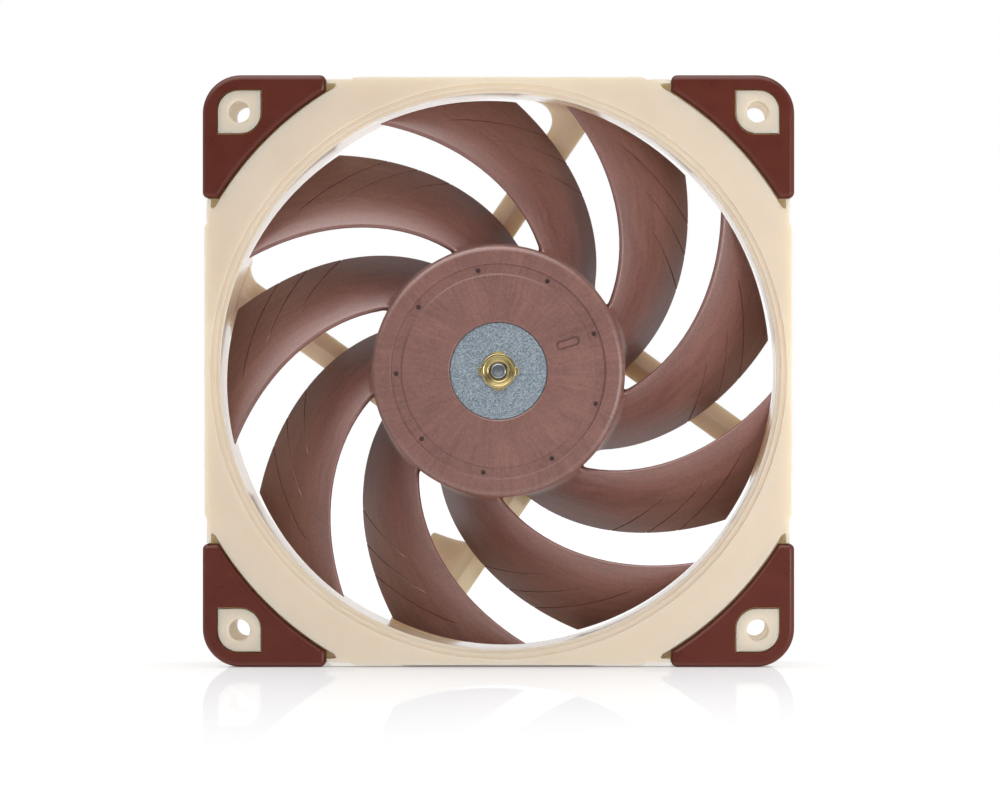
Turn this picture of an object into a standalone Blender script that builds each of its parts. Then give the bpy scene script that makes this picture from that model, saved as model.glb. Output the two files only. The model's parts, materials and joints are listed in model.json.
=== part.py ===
"""A 120 mm axial case fan, as an assembly of its separate pieces.

The origin is the fan's centre: on the spin axis, at mid depth. +Z is up, and the intake side, where the
hub shows, faces -Y. A place on the fan is given by its radius and its angle from +X towards +Z. Every
dimension is in millimetres and is turned into metres where a mesh is made.
"""

import math

import bmesh
import bpy
from mathutils import Matrix, Vector

MM = 0.001

# Outline and depth
SIZE = 120.0
DEPTH = 25.0
FRONT = -DEPTH / 2
REAR = DEPTH / 2
HALF = SIZE / 2
CORNER_RADIUS = 7.8
SIDE_PROUD = 59.6           # half width of the frame along the middle of each side
SIDE_PROUD_LENGTH = 29.0    # half length of that stretch
SIDE_STEP = 1.0             # length of the slope at its ends
SIDE_BACK = 59.15           # half width beside the pads

# Duct and flanges
BORE_RADIUS = 56.35
INLET_RADIUS = 58.9
INLET_LAND_RADIUS = 57.2
INLET_STEP = 0.4
OUTLET_RADIUS = 57.2
OUTLET_LENGTH = 2.0
RING_RADIUS = 59.15
FLANGE = 4.8
FLAT_HALF = 20.0            # half length of the flat wall between the flanges

# Screw holes
HOLE_SPACING = 105.0
HOLE_RADIUS = 2.15
BOSS_HALF = 4.3
BOSS_ROUND = 4.1

# Corner pads
PAD_LEG = 25.0
PAD_ARC_RADIUS = 66.7
PAD_THICKNESS = 3.2
PAD_BEVEL = 0.35
PAD_BEVEL_ANGLE = 60.0
RECESS_DEPTH = 3.5
RECESS_ARC_RADIUS = 66.3
RECESS_TIP = 1.9
RECESS_RIM = 0.85
GAP = 0.3                   # between pieces that rest on each other
FINE_GAP = 0.2              # between turned pieces that share their facets

# Rear struts: the direction each runs out in, and how far its centre line passes from the spin axis
STRUTS = ((55.8, 16.6), (144.4, 17.6), (235.8, 16.9), (324.4, 17.6))
STRUT_WIDTH = 6.3
STRUT_FRONT = 8.4
STRUT_SHOULDER = 9.9
STRUT_REAR = 12.3
STRUT_START = 12.0
STRUT_END_RADIUS = 57.9
CABLE_STRUT = 2
CHANNEL_INNER_RADIUS = 36.0
CHANNEL_LEFT_ANGLE = 247.0
CHANNEL_LEFT_END_ANGLE = 246.0
CHANNEL_GROOVE_WIDTH = 3.6
CHANNEL_GROOVE_DEPTH = 2.2
CHANNEL_GROOVE_START = 19.4

# Motor base
BASE_RADIUS = 25.4
BASE_WALL = 1.4
BASE_EDGE = 0.4
BASE_FRONT = 8.3
BASE_FLOOR = 10.9
BASE_REAR = 12.4
COLLAR_RADIUS = 6.6
COLLAR_FRONT = 6.4
TUBE_SEAT = 11.2
LABEL_RADIUS = 21.7
LABEL_FACE = 12.0
LABEL_THICKNESS = 0.25

# Impeller
BLADES = 9
TIP_RADIUS = 55.6
ROOT_RADIUS = 24.5
HUB_RADIUS = 25.7
HUB_WALL = 1.9
HUB_FRONT = -12.2
HUB_FACE = -11.95
HUB_PLATE_BACK = -10.6
HUB_REAR = 7.9
HUB_HOLE_RADIUS = 10.0
HUB_SHOULDER = ((2.3, 0.2), (1.0, 1.0), (0.3, 2.1), (0.0, 3.6))    # in from the side, back from the front
GROOVE_INNER = 19.7
GROOVE_OUTER = 21.8
GROOVE_DEPTH = 0.25
LEAD_ROOT_ANGLE = 70.7      # angle of the leading edge where the blade leaves the hub
LEAD_SWEEP = 45.0           # how far it has turned at the tip
LEAD_BOW = 0.9              # how far it bulges from an even sweep at mid span
TRAIL_ROOT_ANGLE = 41.4
TRAIL_SWEEP = 45.3
TRAIL_BOW = 1.9
LEAD_ROOT_DEPTH = -8.2
LEAD_TIP_DEPTH = -10.4
TRAIL_DEPTH = 6.0
CAMBER = 0.35
BLADE_THICKNESS = 1.5
BLADE_EDGE = 0.75
SPAN_STEPS = 8
CHORD_STEPS = 6

# Rotor
CUP_RADIUS = 23.5
CUP_WALL = 1.0
CUP_PLATE = -10.3
CUP_REAR = 6.8
DISC_RADIUS = 9.8
DISC_FACE = -11.5
MAGNET_OUTER = 22.3
MAGNET_INNER = 20.3
MAGNET_FRONT = -8.0
MAGNET_REAR = 6.4
BUSH_COLLAR_RADIUS = 3.45
BUSH_TAB_RADIUS = 4.2
BUSH_TAB_WIDTH_SIDE = 1.9
BUSH_TAB_WIDTH_TOP = 2.4
BUSH_BODY_RADIUS = 3.2
BUSH_FRONT = -12.15
BUSH_COLLAR_BACK = -11.7
BUSH_REAR = -8.6
SHAFT_RADIUS = 1.5
RUNNING_BORE = 1.55
SHAFT_FRONT = -12.3
SHAFT_REAR = 8.0
SHAFT_CHAMFER = 0.2
CLIP_GROOVE = (6.0, 6.5)
CLIP_GROOVE_RADIUS = 1.15
CLIP_RADIUS = 2.8
CLIP_PLAY = 0.1
CLIP_SLOT_START = 0.5
CLIP_SLOT_HALF = 0.6

# Bearing
TUBE_OUTER = 4.9
TUBE_INNER = 3.6
TUBE_FRONT = -8.2
TUBE_REAR = 10.9
SLEEVE_RADIUS = 3.5
SLEEVE_FRONT = -7.2
SLEEVE_REAR = 5.6
SEAL_BORE = 1.7
SEAL_FRONT = -7.9
SEAL_REAR = -7.5
THRUST_RADIUS = 3.4
THRUST_REAR = 8.9
END_CAP_FRONT = 9.2

# Stator
CORE_FRONT = -4.0
CORE_REAR = 2.6
CORE_BORE = 5.1
POLES = 4
POLE_ANGLE = 45.0
ARM_SPREAD = 4.0            # how much wider than its arm a pole's shoe starts, in degrees
CORE_POLE = (8.0, 2.25, 17.2, 19.7, 38)     # hub radius, arm half width, shoe radii, shoe half angle
FORMER_POLE = (8.6, 2.5, 16.2, 17.0, 20)
INSULATOR_COLLAR_RADIUS = 8.0
INSULATOR_STEP = 0.1
INSULATOR_THICKNESS = 0.8
INSULATOR_COLLAR = 2.0
COIL_INNER_HALF = 2.9
COIL_OUTER_HALF = 5.2
COIL_START = 9.2
COIL_END = 15.0
COIL_BUILD = 2.1
COIL_ROUNDING = 0.8
PIN_CIRCLE = 7.3
PIN_RADIUS = 0.3

# Circuit board
BOARD_FRONT = 8.9
BOARD_THICKNESS = 1.2
BOARD_OUTER = 23.2
BOARD_INNER = 8.2
CHIP_BACK = BOARD_FRONT - FINE_GAP

# Facets of the turned pieces, and the angle between faces that still shade as one
SHARP_ANGLE = 35.0
DUCT_STEPS = 72
HUB_STEPS = 48
SMALL_STEPS = 24
PIN_STEPS = 10

# Colours, as linear red, green and blue
BEIGE = (0.72, 0.58, 0.45)
PAD_BROWN = (0.125, 0.032, 0.018)
BLADE_BROWN = (0.215, 0.105, 0.085)
STEEL = (0.33, 0.38, 0.42)
BRASS = (0.62, 0.46, 0.18)
DARK_STEEL = (0.30, 0.30, 0.31)
BLACK = (0.02, 0.02, 0.022)
COPPER = (0.60, 0.24, 0.10)
BOARD_GREEN = (0.03, 0.16, 0.07)
NYLON = (0.55, 0.52, 0.45)
BRONZE = (0.36, 0.22, 0.11)
LAMINATION = (0.24, 0.24, 0.25)

# Parts on the board: name, radius and angle of the middle, length, width, height and colour
CHIPS = (
    ("driver_chip", 14.5, 100, 5.0, 5.0, 1.2, BLACK),
    ("hall_sensor", 18.5, 0, 3.0, 4.0, 1.3, BLACK),
    ("capacitor", 15.5, 190, 2.0, 3.2, 1.3, NYLON),
    ("resistor", 15.5, 250, 1.6, 3.2, 0.6, BLACK),
)


def clear_scene():
    for thing in list(bpy.data.objects):
        bpy.data.objects.remove(thing)


def finish_material(name, colour, roughness, metallic):
    material = bpy.data.materials.new(name)
    material.use_nodes = True
    shader = material.node_tree.nodes["Principled BSDF"]
    shader.inputs["Base Color"].default_value = (*colour, 1.0)
    shader.inputs["Roughness"].default_value = roughness
    shader.inputs["Metallic"].default_value = metallic
    return material


def plastic(name, colour):
    return finish_material(name, colour, 0.55, 0.0)


def rubber(name, colour):
    return finish_material(name, colour, 0.7, 0.0)


def metal(name, colour):
    return finish_material(name, colour, 0.35, 1.0)


def make_object(name, bm, material=None):
    """Turns a bmesh in millimetres into an object in metres. An object with no material is a tool."""
    bmesh.ops.recalc_face_normals(bm, faces=bm.faces)
    bmesh.ops.scale(bm, vec=(MM, MM, MM), verts=bm.verts)
    mesh = bpy.data.meshes.new(name)
    bm.to_mesh(mesh)
    bm.free()
    mesh.shade_smooth()
    mesh.set_sharp_from_angle(angle=math.radians(SHARP_ANGLE))
    thing = bpy.data.objects.new(name, mesh)
    bpy.context.scene.collection.objects.link(thing)
    if material is None:
        thing.hide_render = True
        thing.display_type = "WIRE"
    else:
        mesh.materials.append(material)
    return thing


def turned(name, profile, steps, material=None):
    """Turns a closed outline of (radius, depth) points about the spin axis."""
    bm = bmesh.new()
    corners = [bm.verts.new((radius, depth, 0)) for radius, depth in profile]
    for here, there in zip(corners, corners[1:] + corners[:1]):
        if here.co.x > 0 or there.co.x > 0:
            bm.edges.new((here, there))
    bmesh.ops.spin(
        bm, geom=bm.verts[:] + bm.edges[:], cent=(0, 0, 0), axis=(0, 1, 0),
        angle=math.tau, steps=steps, use_merge=True)
    bmesh.ops.remove_doubles(bm, verts=bm.verts, dist=0.0001)
    return make_object(name, bm, material)


def rod(name, radius, start, end, steps, material=None, at=(0, 0)):
    """A round bar along the spin axis, with its centre at (x, z)."""
    thing = turned(name, [(0, start), (radius, start), (radius, end), (0, end)], steps, material)
    thing.data.transform(Matrix.Translation((at[0] * MM, 0, at[1] * MM)))
    return thing


def prism(name, outline, start, end, material=None):
    """Extrudes a closed outline of (x, z) points in depth."""
    bm = bmesh.new()
    face = bm.faces.new([bm.verts.new((x, start, z)) for x, z in outline])
    grown = bmesh.ops.extrude_face_region(bm, geom=[face])
    moved = [part for part in grown["geom"] if isinstance(part, bmesh.types.BMVert)]
    bmesh.ops.translate(bm, vec=(0, end - start, 0), verts=moved)
    return make_object(name, bm, material)


def block(name, low, high, material=None, turn=0.0):
    """A box between two (x, y, z) corners, turned about the spin axis by an angle from +X towards +Z."""
    size = Vector(high) - Vector(low)
    middle = (Vector(high) + Vector(low)) / 2
    bm = bmesh.new()
    bmesh.ops.create_cube(bm, size=1.0, matrix=Matrix.Translation(middle) @ Matrix.Diagonal((*size, 1)))
    bmesh.ops.rotate(bm, cent=(0, 0, 0), matrix=spin_turn(turn), verts=bm.verts)
    return make_object(name, bm, material)


def spin_turn(degrees):
    return Matrix.Rotation(math.radians(-degrees), 3, "Y")


def combine(thing, tool, operation):
    step = thing.modifiers.new(tool.name, "BOOLEAN")
    step.operation = operation
    step.object = tool
    step.solver = "EXACT"


def cut(thing, *tools):
    for tool in tools:
        combine(thing, tool, "DIFFERENCE")


def join(thing, *tools):
    for tool in tools:
        combine(thing, tool, "UNION")


def polar(radius, degrees):
    angle = math.radians(degrees)
    return (radius * math.cos(angle), radius * math.sin(angle))


def arc(radius, start, end, steps, centre=(0, 0)):
    """Points on an arc between two angles in degrees."""
    points = []
    for step in range(steps + 1):
        x, z = polar(radius, start + (end - start) * step / steps)
        points.append((centre[0] + x, centre[1] + z))
    return points


def turn_points(points, degrees):
    cosine, sine = polar(1, degrees)
    return [(x * cosine - z * sine, x * sine + z * cosine) for x, z in points]


# ---------------------------------------------------------------------------------------------- frame

def frame_outline():
    """One side and one corner of the frame, four times round."""
    inner = SIDE_BACK - CORNER_RADIUS
    quarter = [
        (SIDE_BACK, -SIDE_PROUD_LENGTH - SIDE_STEP),
        (SIDE_PROUD, -SIDE_PROUD_LENGTH),
        (SIDE_PROUD, SIDE_PROUD_LENGTH),
        (SIDE_BACK, SIDE_PROUD_LENGTH + SIDE_STEP),
    ]
    quarter += arc(CORNER_RADIUS, 0, 90, 6, (inner, inner))
    outline = []
    for side in range(4):
        outline += turn_points(quarter, 90 * side)
    return outline


def duct_cutter():
    profile = [
        (0, FRONT - 1),
        (INLET_RADIUS, FRONT - 1),
        (INLET_RADIUS, FRONT + INLET_STEP),
        (INLET_LAND_RADIUS, FRONT + INLET_STEP),
        (INLET_LAND_RADIUS, FRONT + 2 * INLET_STEP),
        (BORE_RADIUS, FRONT + 4 * INLET_STEP),
        (BORE_RADIUS, REAR - OUTLET_LENGTH),
        (OUTLET_RADIUS, REAR),
        (OUTLET_RADIUS, REAR + 1),
        (0, REAR + 1),
    ]
    return turned("duct_cutter", profile, DUCT_STEPS)


def corner_cutter(corner):
    """Clears the corner between the two flanges, down to the outside of the duct ring."""
    start = math.degrees(math.asin(FLAT_HALF / RING_RADIUS))
    outline = arc(RING_RADIUS, 90 - start, start, 14)
    outline += [(HALF + 1, FLAT_HALF), (HALF + 1, HALF + 1), (FLAT_HALF, HALF + 1)]
    return prism(f"corner_cutter_{corner}", turn_points(outline, 90 * corner),
                 FRONT + FLANGE, REAR - FLANGE)


def leaf_outline(half, rounding):
    """The outline round a screw hole: a square whose inner and outer corners are rounded."""
    middle = HOLE_SPACING / 2
    near = middle - half + rounding
    far = middle + half - rounding
    outline = [(middle + half, middle - half)]
    outline += arc(rounding, 0, 90, 6, (far, far))
    outline += [(middle - half, middle + half)]
    outline += arc(rounding, 180, 270, 6, (near, near))
    return outline


def recess_outline():
    """The pocket for a corner pad. Past each end of the pad it runs on behind a thin rim."""
    edge = HALF - PAD_LEG - FINE_GAP
    rim = SIDE_BACK - RECESS_RIM
    tip = edge - RECESS_TIP + 2 * FINE_GAP
    slope = math.degrees(math.atan2(rim - RECESS_RIM, tip))
    outline = [(edge, HALF + 1), (edge, rim), (tip + RECESS_RIM / 2, rim), (tip, rim - RECESS_RIM / 2)]
    outline += arc(RECESS_ARC_RADIUS, slope, 90 - slope, 10)
    outline += [(rim - RECESS_RIM / 2, tip), (rim, tip + RECESS_RIM / 2), (rim, edge), (HALF + 1, edge)]
    outline += [(HALF + 1, HALF + 1)]
    return outline


def recess_cutter(corner, face, floor):
    """A pocket between a face and its floor, with the leaf-shaped boss left standing."""
    name = f"recess_cutter_{corner}_{'front' if face < 0 else 'rear'}"
    pocket = prism(name, turn_points(recess_outline(), 90 * corner), face, floor)
    boss = prism(f"{name}_boss", turn_points(leaf_outline(BOSS_HALF, BOSS_ROUND), 90 * corner), -HALF, HALF)
    cut(pocket, boss)
    return pocket


def hole_cutter(corner):
    x, z = turn_points([(HOLE_SPACING / 2, HOLE_SPACING / 2)], 90 * corner)[0]
    return rod(f"hole_cutter_{corner}", HOLE_RADIUS, FRONT - 1, REAR + 1, SMALL_STEPS, at=(x, z))


def strut(index):
    """A bar with a ridge along its front, from under the motor base into the duct ring."""
    direction, offset = STRUTS[index]
    half = STRUT_WIDTH / 2
    end = math.sqrt(STRUT_END_RADIUS ** 2 - offset ** 2)
    section = [(-half, STRUT_REAR), (half, STRUT_REAR), (half, STRUT_SHOULDER), (0, STRUT_FRONT),
               (-half, STRUT_SHOULDER)]
    bm = bmesh.new()
    face = bm.faces.new([bm.verts.new((STRUT_START, depth, offset + across)) for across, depth in section])
    grown = bmesh.ops.extrude_face_region(bm, geom=[face])
    moved = [part for part in grown["geom"] if isinstance(part, bmesh.types.BMVert)]
    bmesh.ops.translate(bm, vec=(end - STRUT_START, 0, 0), verts=moved)
    bmesh.ops.rotate(bm, cent=(0, 0, 0), matrix=spin_turn(direction), verts=bm.verts)
    return make_object(f"strut_{index}", bm)


def cable_channel():
    """The plate beside the lower strut that covers the leads, between the strut and the duct ring."""
    direction, offset = STRUTS[CABLE_STRUT]
    inner_angle = direction + math.degrees(math.asin(offset / CHANNEL_INNER_RADIUS))
    outer_angle = direction + math.degrees(math.asin(offset / STRUT_END_RADIUS))
    outline = arc(CHANNEL_INNER_RADIUS, CHANNEL_LEFT_ANGLE, inner_angle, 5)
    outline += arc(STRUT_END_RADIUS, outer_angle, CHANNEL_LEFT_END_ANGLE, 4)
    return prism("cable_channel", outline, STRUT_SHOULDER, STRUT_REAR - FINE_GAP)


def cable_groove():
    """The groove in the back of the lower strut, from the motor base out through the rear flange."""
    direction, offset = STRUTS[CABLE_STRUT]
    half = CHANNEL_GROOVE_WIDTH / 2
    low = (CHANNEL_GROOVE_START, STRUT_REAR - CHANNEL_GROOVE_DEPTH, offset - half)
    high = (SIZE, REAR + 1, offset + half)
    return block("cable_groove", low, high, turn=direction)


def motor_base():
    """The shallow cup behind the rotor, with a collar for the bearing tube and a recess for the label."""
    seat = TUBE_OUTER + GAP
    inside = BASE_RADIUS - BASE_WALL
    recess = LABEL_RADIUS + GAP
    profile = [
        (0, TUBE_SEAT),
        (seat, TUBE_SEAT),
        (seat, COLLAR_FRONT),
        (COLLAR_RADIUS, COLLAR_FRONT),
        (COLLAR_RADIUS, BASE_FLOOR),
        (inside, BASE_FLOOR),
        (inside, BASE_FRONT),
        (BASE_RADIUS, BASE_FRONT),
        (BASE_RADIUS, BASE_REAR - BASE_EDGE),
        (BASE_RADIUS - BASE_EDGE, BASE_REAR),
        (recess, BASE_REAR),
        (recess, LABEL_FACE),
        (0, LABEL_FACE),
    ]
    return turned("motor_base", profile, HUB_STEPS)


def make_frame():
    frame = prism("frame", frame_outline(), FRONT, REAR, plastic("frame_plastic", BEIGE))
    cut(frame, duct_cutter())
    for corner in range(4):
        cut(frame, corner_cutter(corner))
        cut(frame, recess_cutter(corner, FRONT - 1, FRONT + RECESS_DEPTH))
        cut(frame, recess_cutter(corner, REAR + 1, REAR - RECESS_DEPTH))
        cut(frame, hole_cutter(corner))
    bars = [strut(index) for index in range(len(STRUTS))]
    for bar in bars:
        cut(bar, rod(f"{bar.name}_end_cutter", BASE_RADIUS - BASE_WALL / 2, 0, REAR + 1, HUB_STEPS))
    join(frame, *bars, cable_channel(), motor_base())
    cut(frame, cable_groove())


# ----------------------------------------------------------------------------------------------- pads

def pad_outline():
    inner = HALF - CORNER_RADIUS
    end = HALF - PAD_LEG
    slope = math.degrees(math.acos(end / PAD_ARC_RADIUS))
    outline = [(HALF, end)]
    outline += arc(CORNER_RADIUS, 0, 90, 6, (inner, inner))
    outline += [(end, HALF)]
    outline += arc(PAD_ARC_RADIUS, slope, 90 - slope, 8)
    return outline


def make_pad(name, corner, face, back):
    """A soft corner pad that fits round the leaf-shaped boss."""
    outline = turn_points(pad_outline(), 90 * corner)
    pad = prism(name, outline, face, back, rubber(f"{name}_rubber", PAD_BROWN))
    hole = prism(f"{name}_cutter", turn_points(leaf_outline(BOSS_HALF + GAP, BOSS_ROUND + GAP), 90 * corner),
                 -HALF, HALF)
    cut(pad, hole)
    rounding = pad.modifiers.new("edges", "BEVEL")
    rounding.width = PAD_BEVEL * MM
    rounding.segments = 1
    rounding.limit_method = "ANGLE"
    rounding.angle_limit = math.radians(PAD_BEVEL_ANGLE)


def make_pads():
    corner_names = ("top_right", "top_left", "bottom_left", "bottom_right")
    for corner, place in enumerate(corner_names):
        make_pad(f"front_pad_{place}", corner, FRONT, FRONT + PAD_THICKNESS)
        make_pad(f"rear_pad_{place}", corner, REAR, REAR - PAD_THICKNESS)


# ------------------------------------------------------------------------------------------- impeller

def span_at(radius):
    """How far out along the blade a radius lies: 0 at the hub and 1 at the tip."""
    return (radius - HUB_RADIUS) / (TIP_RADIUS - HUB_RADIUS)


def edge_angle(root_angle, sweep, bow, span):
    """The angle of a blade's edge: an even sweep with a small bulge at mid span."""
    return root_angle + sweep * span + bow * 4 * span * (1 - span)


def blade_point(radius, chord):
    """A point on the blade's middle surface. Chord runs from 0 at the leading edge to 1 at the trailing."""
    span = span_at(radius)
    lead = edge_angle(LEAD_ROOT_ANGLE, LEAD_SWEEP, LEAD_BOW, span)
    trail = edge_angle(TRAIL_ROOT_ANGLE, TRAIL_SWEEP, TRAIL_BOW, span)
    x, z = polar(radius, lead + (trail - lead) * chord)
    lead_depth = LEAD_ROOT_DEPTH + (LEAD_TIP_DEPTH - LEAD_ROOT_DEPTH) * span
    depth = lead_depth + (TRAIL_DEPTH - lead_depth) * ((1 - CAMBER) * chord + CAMBER * chord ** 2)
    return Vector((x, depth, z))


def blade_normal(radius, chord):
    """The direction across the blade at a point, square to the radius there, so that the tip stays round."""
    step = 0.01
    along = blade_point(radius, chord + step) - blade_point(radius, chord - step)
    point = blade_point(radius, chord)
    outward = Vector((point.x, 0, point.z)).normalized()
    return along.cross(outward).normalized()


def blade_half_thickness(chord):
    return (BLADE_EDGE + (BLADE_THICKNESS - BLADE_EDGE) * math.sin(math.pi * chord)) / 2


def add_blade(bm, turn):
    """One blade as a closed shell of two skins."""
    rows = []
    for span_step in range(SPAN_STEPS + 1):
        radius = ROOT_RADIUS + (TIP_RADIUS - ROOT_RADIUS) * span_step / SPAN_STEPS
        front = []
        back = []
        for chord_step in range(CHORD_STEPS + 1):
            chord = chord_step / CHORD_STEPS
            shift = blade_normal(radius, chord) * blade_half_thickness(chord)
            front.append(bm.verts.new(turn @ (blade_point(radius, chord) + shift)))
            back.append(bm.verts.new(turn @ (blade_point(radius, chord) - shift)))
        rows.append(front + back[::-1])
    for row, following in zip(rows, rows[1:]):
        for corner in range(len(row)):
            beside = (corner + 1) % len(row)
            bm.faces.new((row[corner], row[beside], following[beside], following[corner]))
    for row in (rows[0], rows[-1]):
        for step in range(CHORD_STEPS):
            bm.faces.new((row[step], row[step + 1], row[-2 - step], row[-1 - step]))


def blades():
    bm = bmesh.new()
    for blade in range(BLADES):
        add_blade(bm, spin_turn(360 / BLADES * blade))
    return make_object("blades", bm)


def make_impeller():
    inside = HUB_RADIUS - HUB_WALL
    profile = [
        (HUB_HOLE_RADIUS, HUB_FACE),
        (GROOVE_INNER, HUB_FACE),
        (GROOVE_INNER, HUB_FACE + GROOVE_DEPTH),
        (GROOVE_OUTER, HUB_FACE + GROOVE_DEPTH),
        (GROOVE_OUTER, HUB_FRONT),
        *[(HUB_RADIUS - inwards, HUB_FRONT + back) for inwards, back in HUB_SHOULDER],
        (HUB_RADIUS, HUB_REAR),
        (inside, HUB_REAR),
        (inside, HUB_PLATE_BACK),
        (HUB_HOLE_RADIUS, HUB_PLATE_BACK),
    ]
    impeller = turned("impeller", profile, HUB_STEPS, plastic("impeller_plastic", BLADE_BROWN))
    join(impeller, blades())


# ---------------------------------------------------------------------------------------------- rotor

def make_rotor_cup():
    inside = CUP_RADIUS - CUP_WALL
    hole = BUSH_BODY_RADIUS + FINE_GAP
    profile = [
        (hole, DISC_FACE),
        (DISC_RADIUS, DISC_FACE),
        (DISC_RADIUS, CUP_PLATE),
        (CUP_RADIUS, CUP_PLATE),
        (CUP_RADIUS, CUP_REAR),
        (inside, CUP_REAR),
        (inside, CUP_PLATE + CUP_WALL),
        (DISC_RADIUS - CUP_WALL, CUP_PLATE + CUP_WALL),
        (DISC_RADIUS - CUP_WALL, DISC_FACE + CUP_WALL),
        (hole, DISC_FACE + CUP_WALL),
    ]
    turned("rotor_cup", profile, HUB_STEPS, metal("rotor_steel", STEEL))


def tube_profile(inner, outer, start, end):
    return [(inner, start), (outer, start), (outer, end), (inner, end)]


def make_magnet_ring():
    profile = tube_profile(MAGNET_INNER, MAGNET_OUTER, MAGNET_FRONT, MAGNET_REAR)
    turned("magnet_ring", profile, HUB_STEPS, rubber("magnet_black", BLACK))


def make_hub_bush():
    profile = [(0, BUSH_FRONT), (BUSH_COLLAR_RADIUS, BUSH_FRONT), (BUSH_COLLAR_RADIUS, BUSH_COLLAR_BACK),
               (BUSH_BODY_RADIUS, BUSH_COLLAR_BACK), (BUSH_BODY_RADIUS, BUSH_REAR), (0, BUSH_REAR)]
    bush = turned("hub_bush", profile, SMALL_STEPS, metal("bush_brass", BRASS))
    tab_front = BUSH_FRONT + FINE_GAP / 2
    tab_back = BUSH_COLLAR_BACK - FINE_GAP / 4
    side_tabs = block("bush_side_tabs", (-BUSH_TAB_RADIUS, tab_front, -BUSH_TAB_WIDTH_SIDE / 2),
                      (BUSH_TAB_RADIUS, tab_back, BUSH_TAB_WIDTH_SIDE / 2))
    top_tabs = block("bush_top_tabs", (-BUSH_TAB_WIDTH_TOP / 2, tab_front + FINE_GAP / 8, -BUSH_TAB_RADIUS),
                     (BUSH_TAB_WIDTH_TOP / 2, tab_back - FINE_GAP / 8, BUSH_TAB_RADIUS))
    join(bush, side_tabs, top_tabs)
    cut(bush, rod("bush_bore_cutter", RUNNING_BORE, BUSH_FRONT - 1, BUSH_REAR + 1, SMALL_STEPS))


def make_shaft():
    groove_front, groove_rear = CLIP_GROOVE
    slim = SHAFT_RADIUS - SHAFT_CHAMFER
    profile = [
        (0, SHAFT_FRONT),
        (slim, SHAFT_FRONT),
        (SHAFT_RADIUS, SHAFT_FRONT + SHAFT_CHAMFER),
        (SHAFT_RADIUS, groove_front),
        (CLIP_GROOVE_RADIUS, groove_front),
        (CLIP_GROOVE_RADIUS, groove_rear),
        (SHAFT_RADIUS, groove_rear),
        (SHAFT_RADIUS, SHAFT_REAR - SHAFT_CHAMFER),
        (slim, SHAFT_REAR),
        (0, SHAFT_REAR),
    ]
    turned("shaft", profile, SMALL_STEPS, metal("shaft_steel", DARK_STEEL))


def make_retaining_clip():
    groove_front, groove_rear = CLIP_GROOVE
    profile = tube_profile(CLIP_GROOVE_RADIUS + CLIP_PLAY, CLIP_RADIUS, groove_front + CLIP_PLAY,
                           groove_rear - CLIP_PLAY)
    clip = turned("retaining_clip", profile, SMALL_STEPS, metal("clip_steel", DARK_STEEL))
    cut(clip, block("clip_slot_cutter", (CLIP_SLOT_START, groove_front - 1, -CLIP_SLOT_HALF),
                    (CLIP_RADIUS + 1, groove_rear + 1, CLIP_SLOT_HALF)))


# -------------------------------------------------------------------------------------------- bearing

def make_bearing():
    brass = metal("tube_brass", BRASS)
    turned("bearing_tube", tube_profile(TUBE_INNER, TUBE_OUTER, TUBE_FRONT, TUBE_REAR), SMALL_STEPS, brass)
    turned("sleeve_bearing", tube_profile(RUNNING_BORE, SLEEVE_RADIUS, SLEEVE_FRONT, SLEEVE_REAR),
           SMALL_STEPS, metal("sleeve_bronze", BRONZE))
    turned("oil_seal", tube_profile(SEAL_BORE, SLEEVE_RADIUS, SEAL_FRONT, SEAL_REAR), SMALL_STEPS,
           rubber("seal_black", BLACK))
    rod("thrust_pad", THRUST_RADIUS, SHAFT_REAR + FINE_GAP, THRUST_REAR, SMALL_STEPS,
        plastic("thrust_pad_nylon", NYLON))
    rod("tube_end_cap", SLEEVE_RADIUS, END_CAP_FRONT, TUBE_REAR, SMALL_STEPS, metal("end_cap_brass", BRASS))


# --------------------------------------------------------------------------------------------- stator

def pole_outline(hub, arm_half, shoe_inner, shoe_outer, shoe_half_angle):
    """A hub with four T-shaped poles."""
    arm_at_shoe = math.degrees(math.asin(arm_half / shoe_inner))
    arm_at_hub = math.degrees(math.asin(arm_half / hub))
    quarter = [polar(hub, -arm_at_hub), polar(shoe_inner, -arm_at_shoe)]
    quarter += arc(shoe_inner, -arm_at_shoe - ARM_SPREAD, -shoe_half_angle, 2)
    quarter += arc(shoe_outer, -shoe_half_angle, shoe_half_angle, 8)
    quarter += arc(shoe_inner, shoe_half_angle, arm_at_shoe + ARM_SPREAD, 2)
    quarter += [polar(shoe_inner, arm_at_shoe)]
    quarter += arc(hub, arm_at_hub, 360 / POLES - arm_at_hub, 4)[:-1]
    outline = []
    for pole in range(POLES):
        outline += turn_points(quarter, POLE_ANGLE + 360 / POLES * pole)
    return outline


def make_stator_core():
    core = prism("stator_core", pole_outline(*CORE_POLE), CORE_FRONT, CORE_REAR,
                 metal("core_steel", LAMINATION))
    cut(core, rod("core_bore_cutter", CORE_BORE, CORE_FRONT - 1, CORE_REAR + 1, SMALL_STEPS))


def make_insulator(name, face, way):
    """A winding former on one face of the core. Way is -1 towards the front and 1 towards the rear."""
    near = face + way * FINE_GAP
    far = near + way * INSULATOR_THICKNESS
    collar_end = far + way * INSULATOR_COLLAR
    former = prism(name, pole_outline(*FORMER_POLE), near, far, plastic(f"{name}_nylon", NYLON))
    join(former, rod(f"{name}_collar", INSULATOR_COLLAR_RADIUS, near + way * INSULATOR_STEP, collar_end,
                     SMALL_STEPS))
    cut(former, rod(f"{name}_bore_cutter", CORE_BORE, near - way, collar_end + way, SMALL_STEPS))


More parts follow.
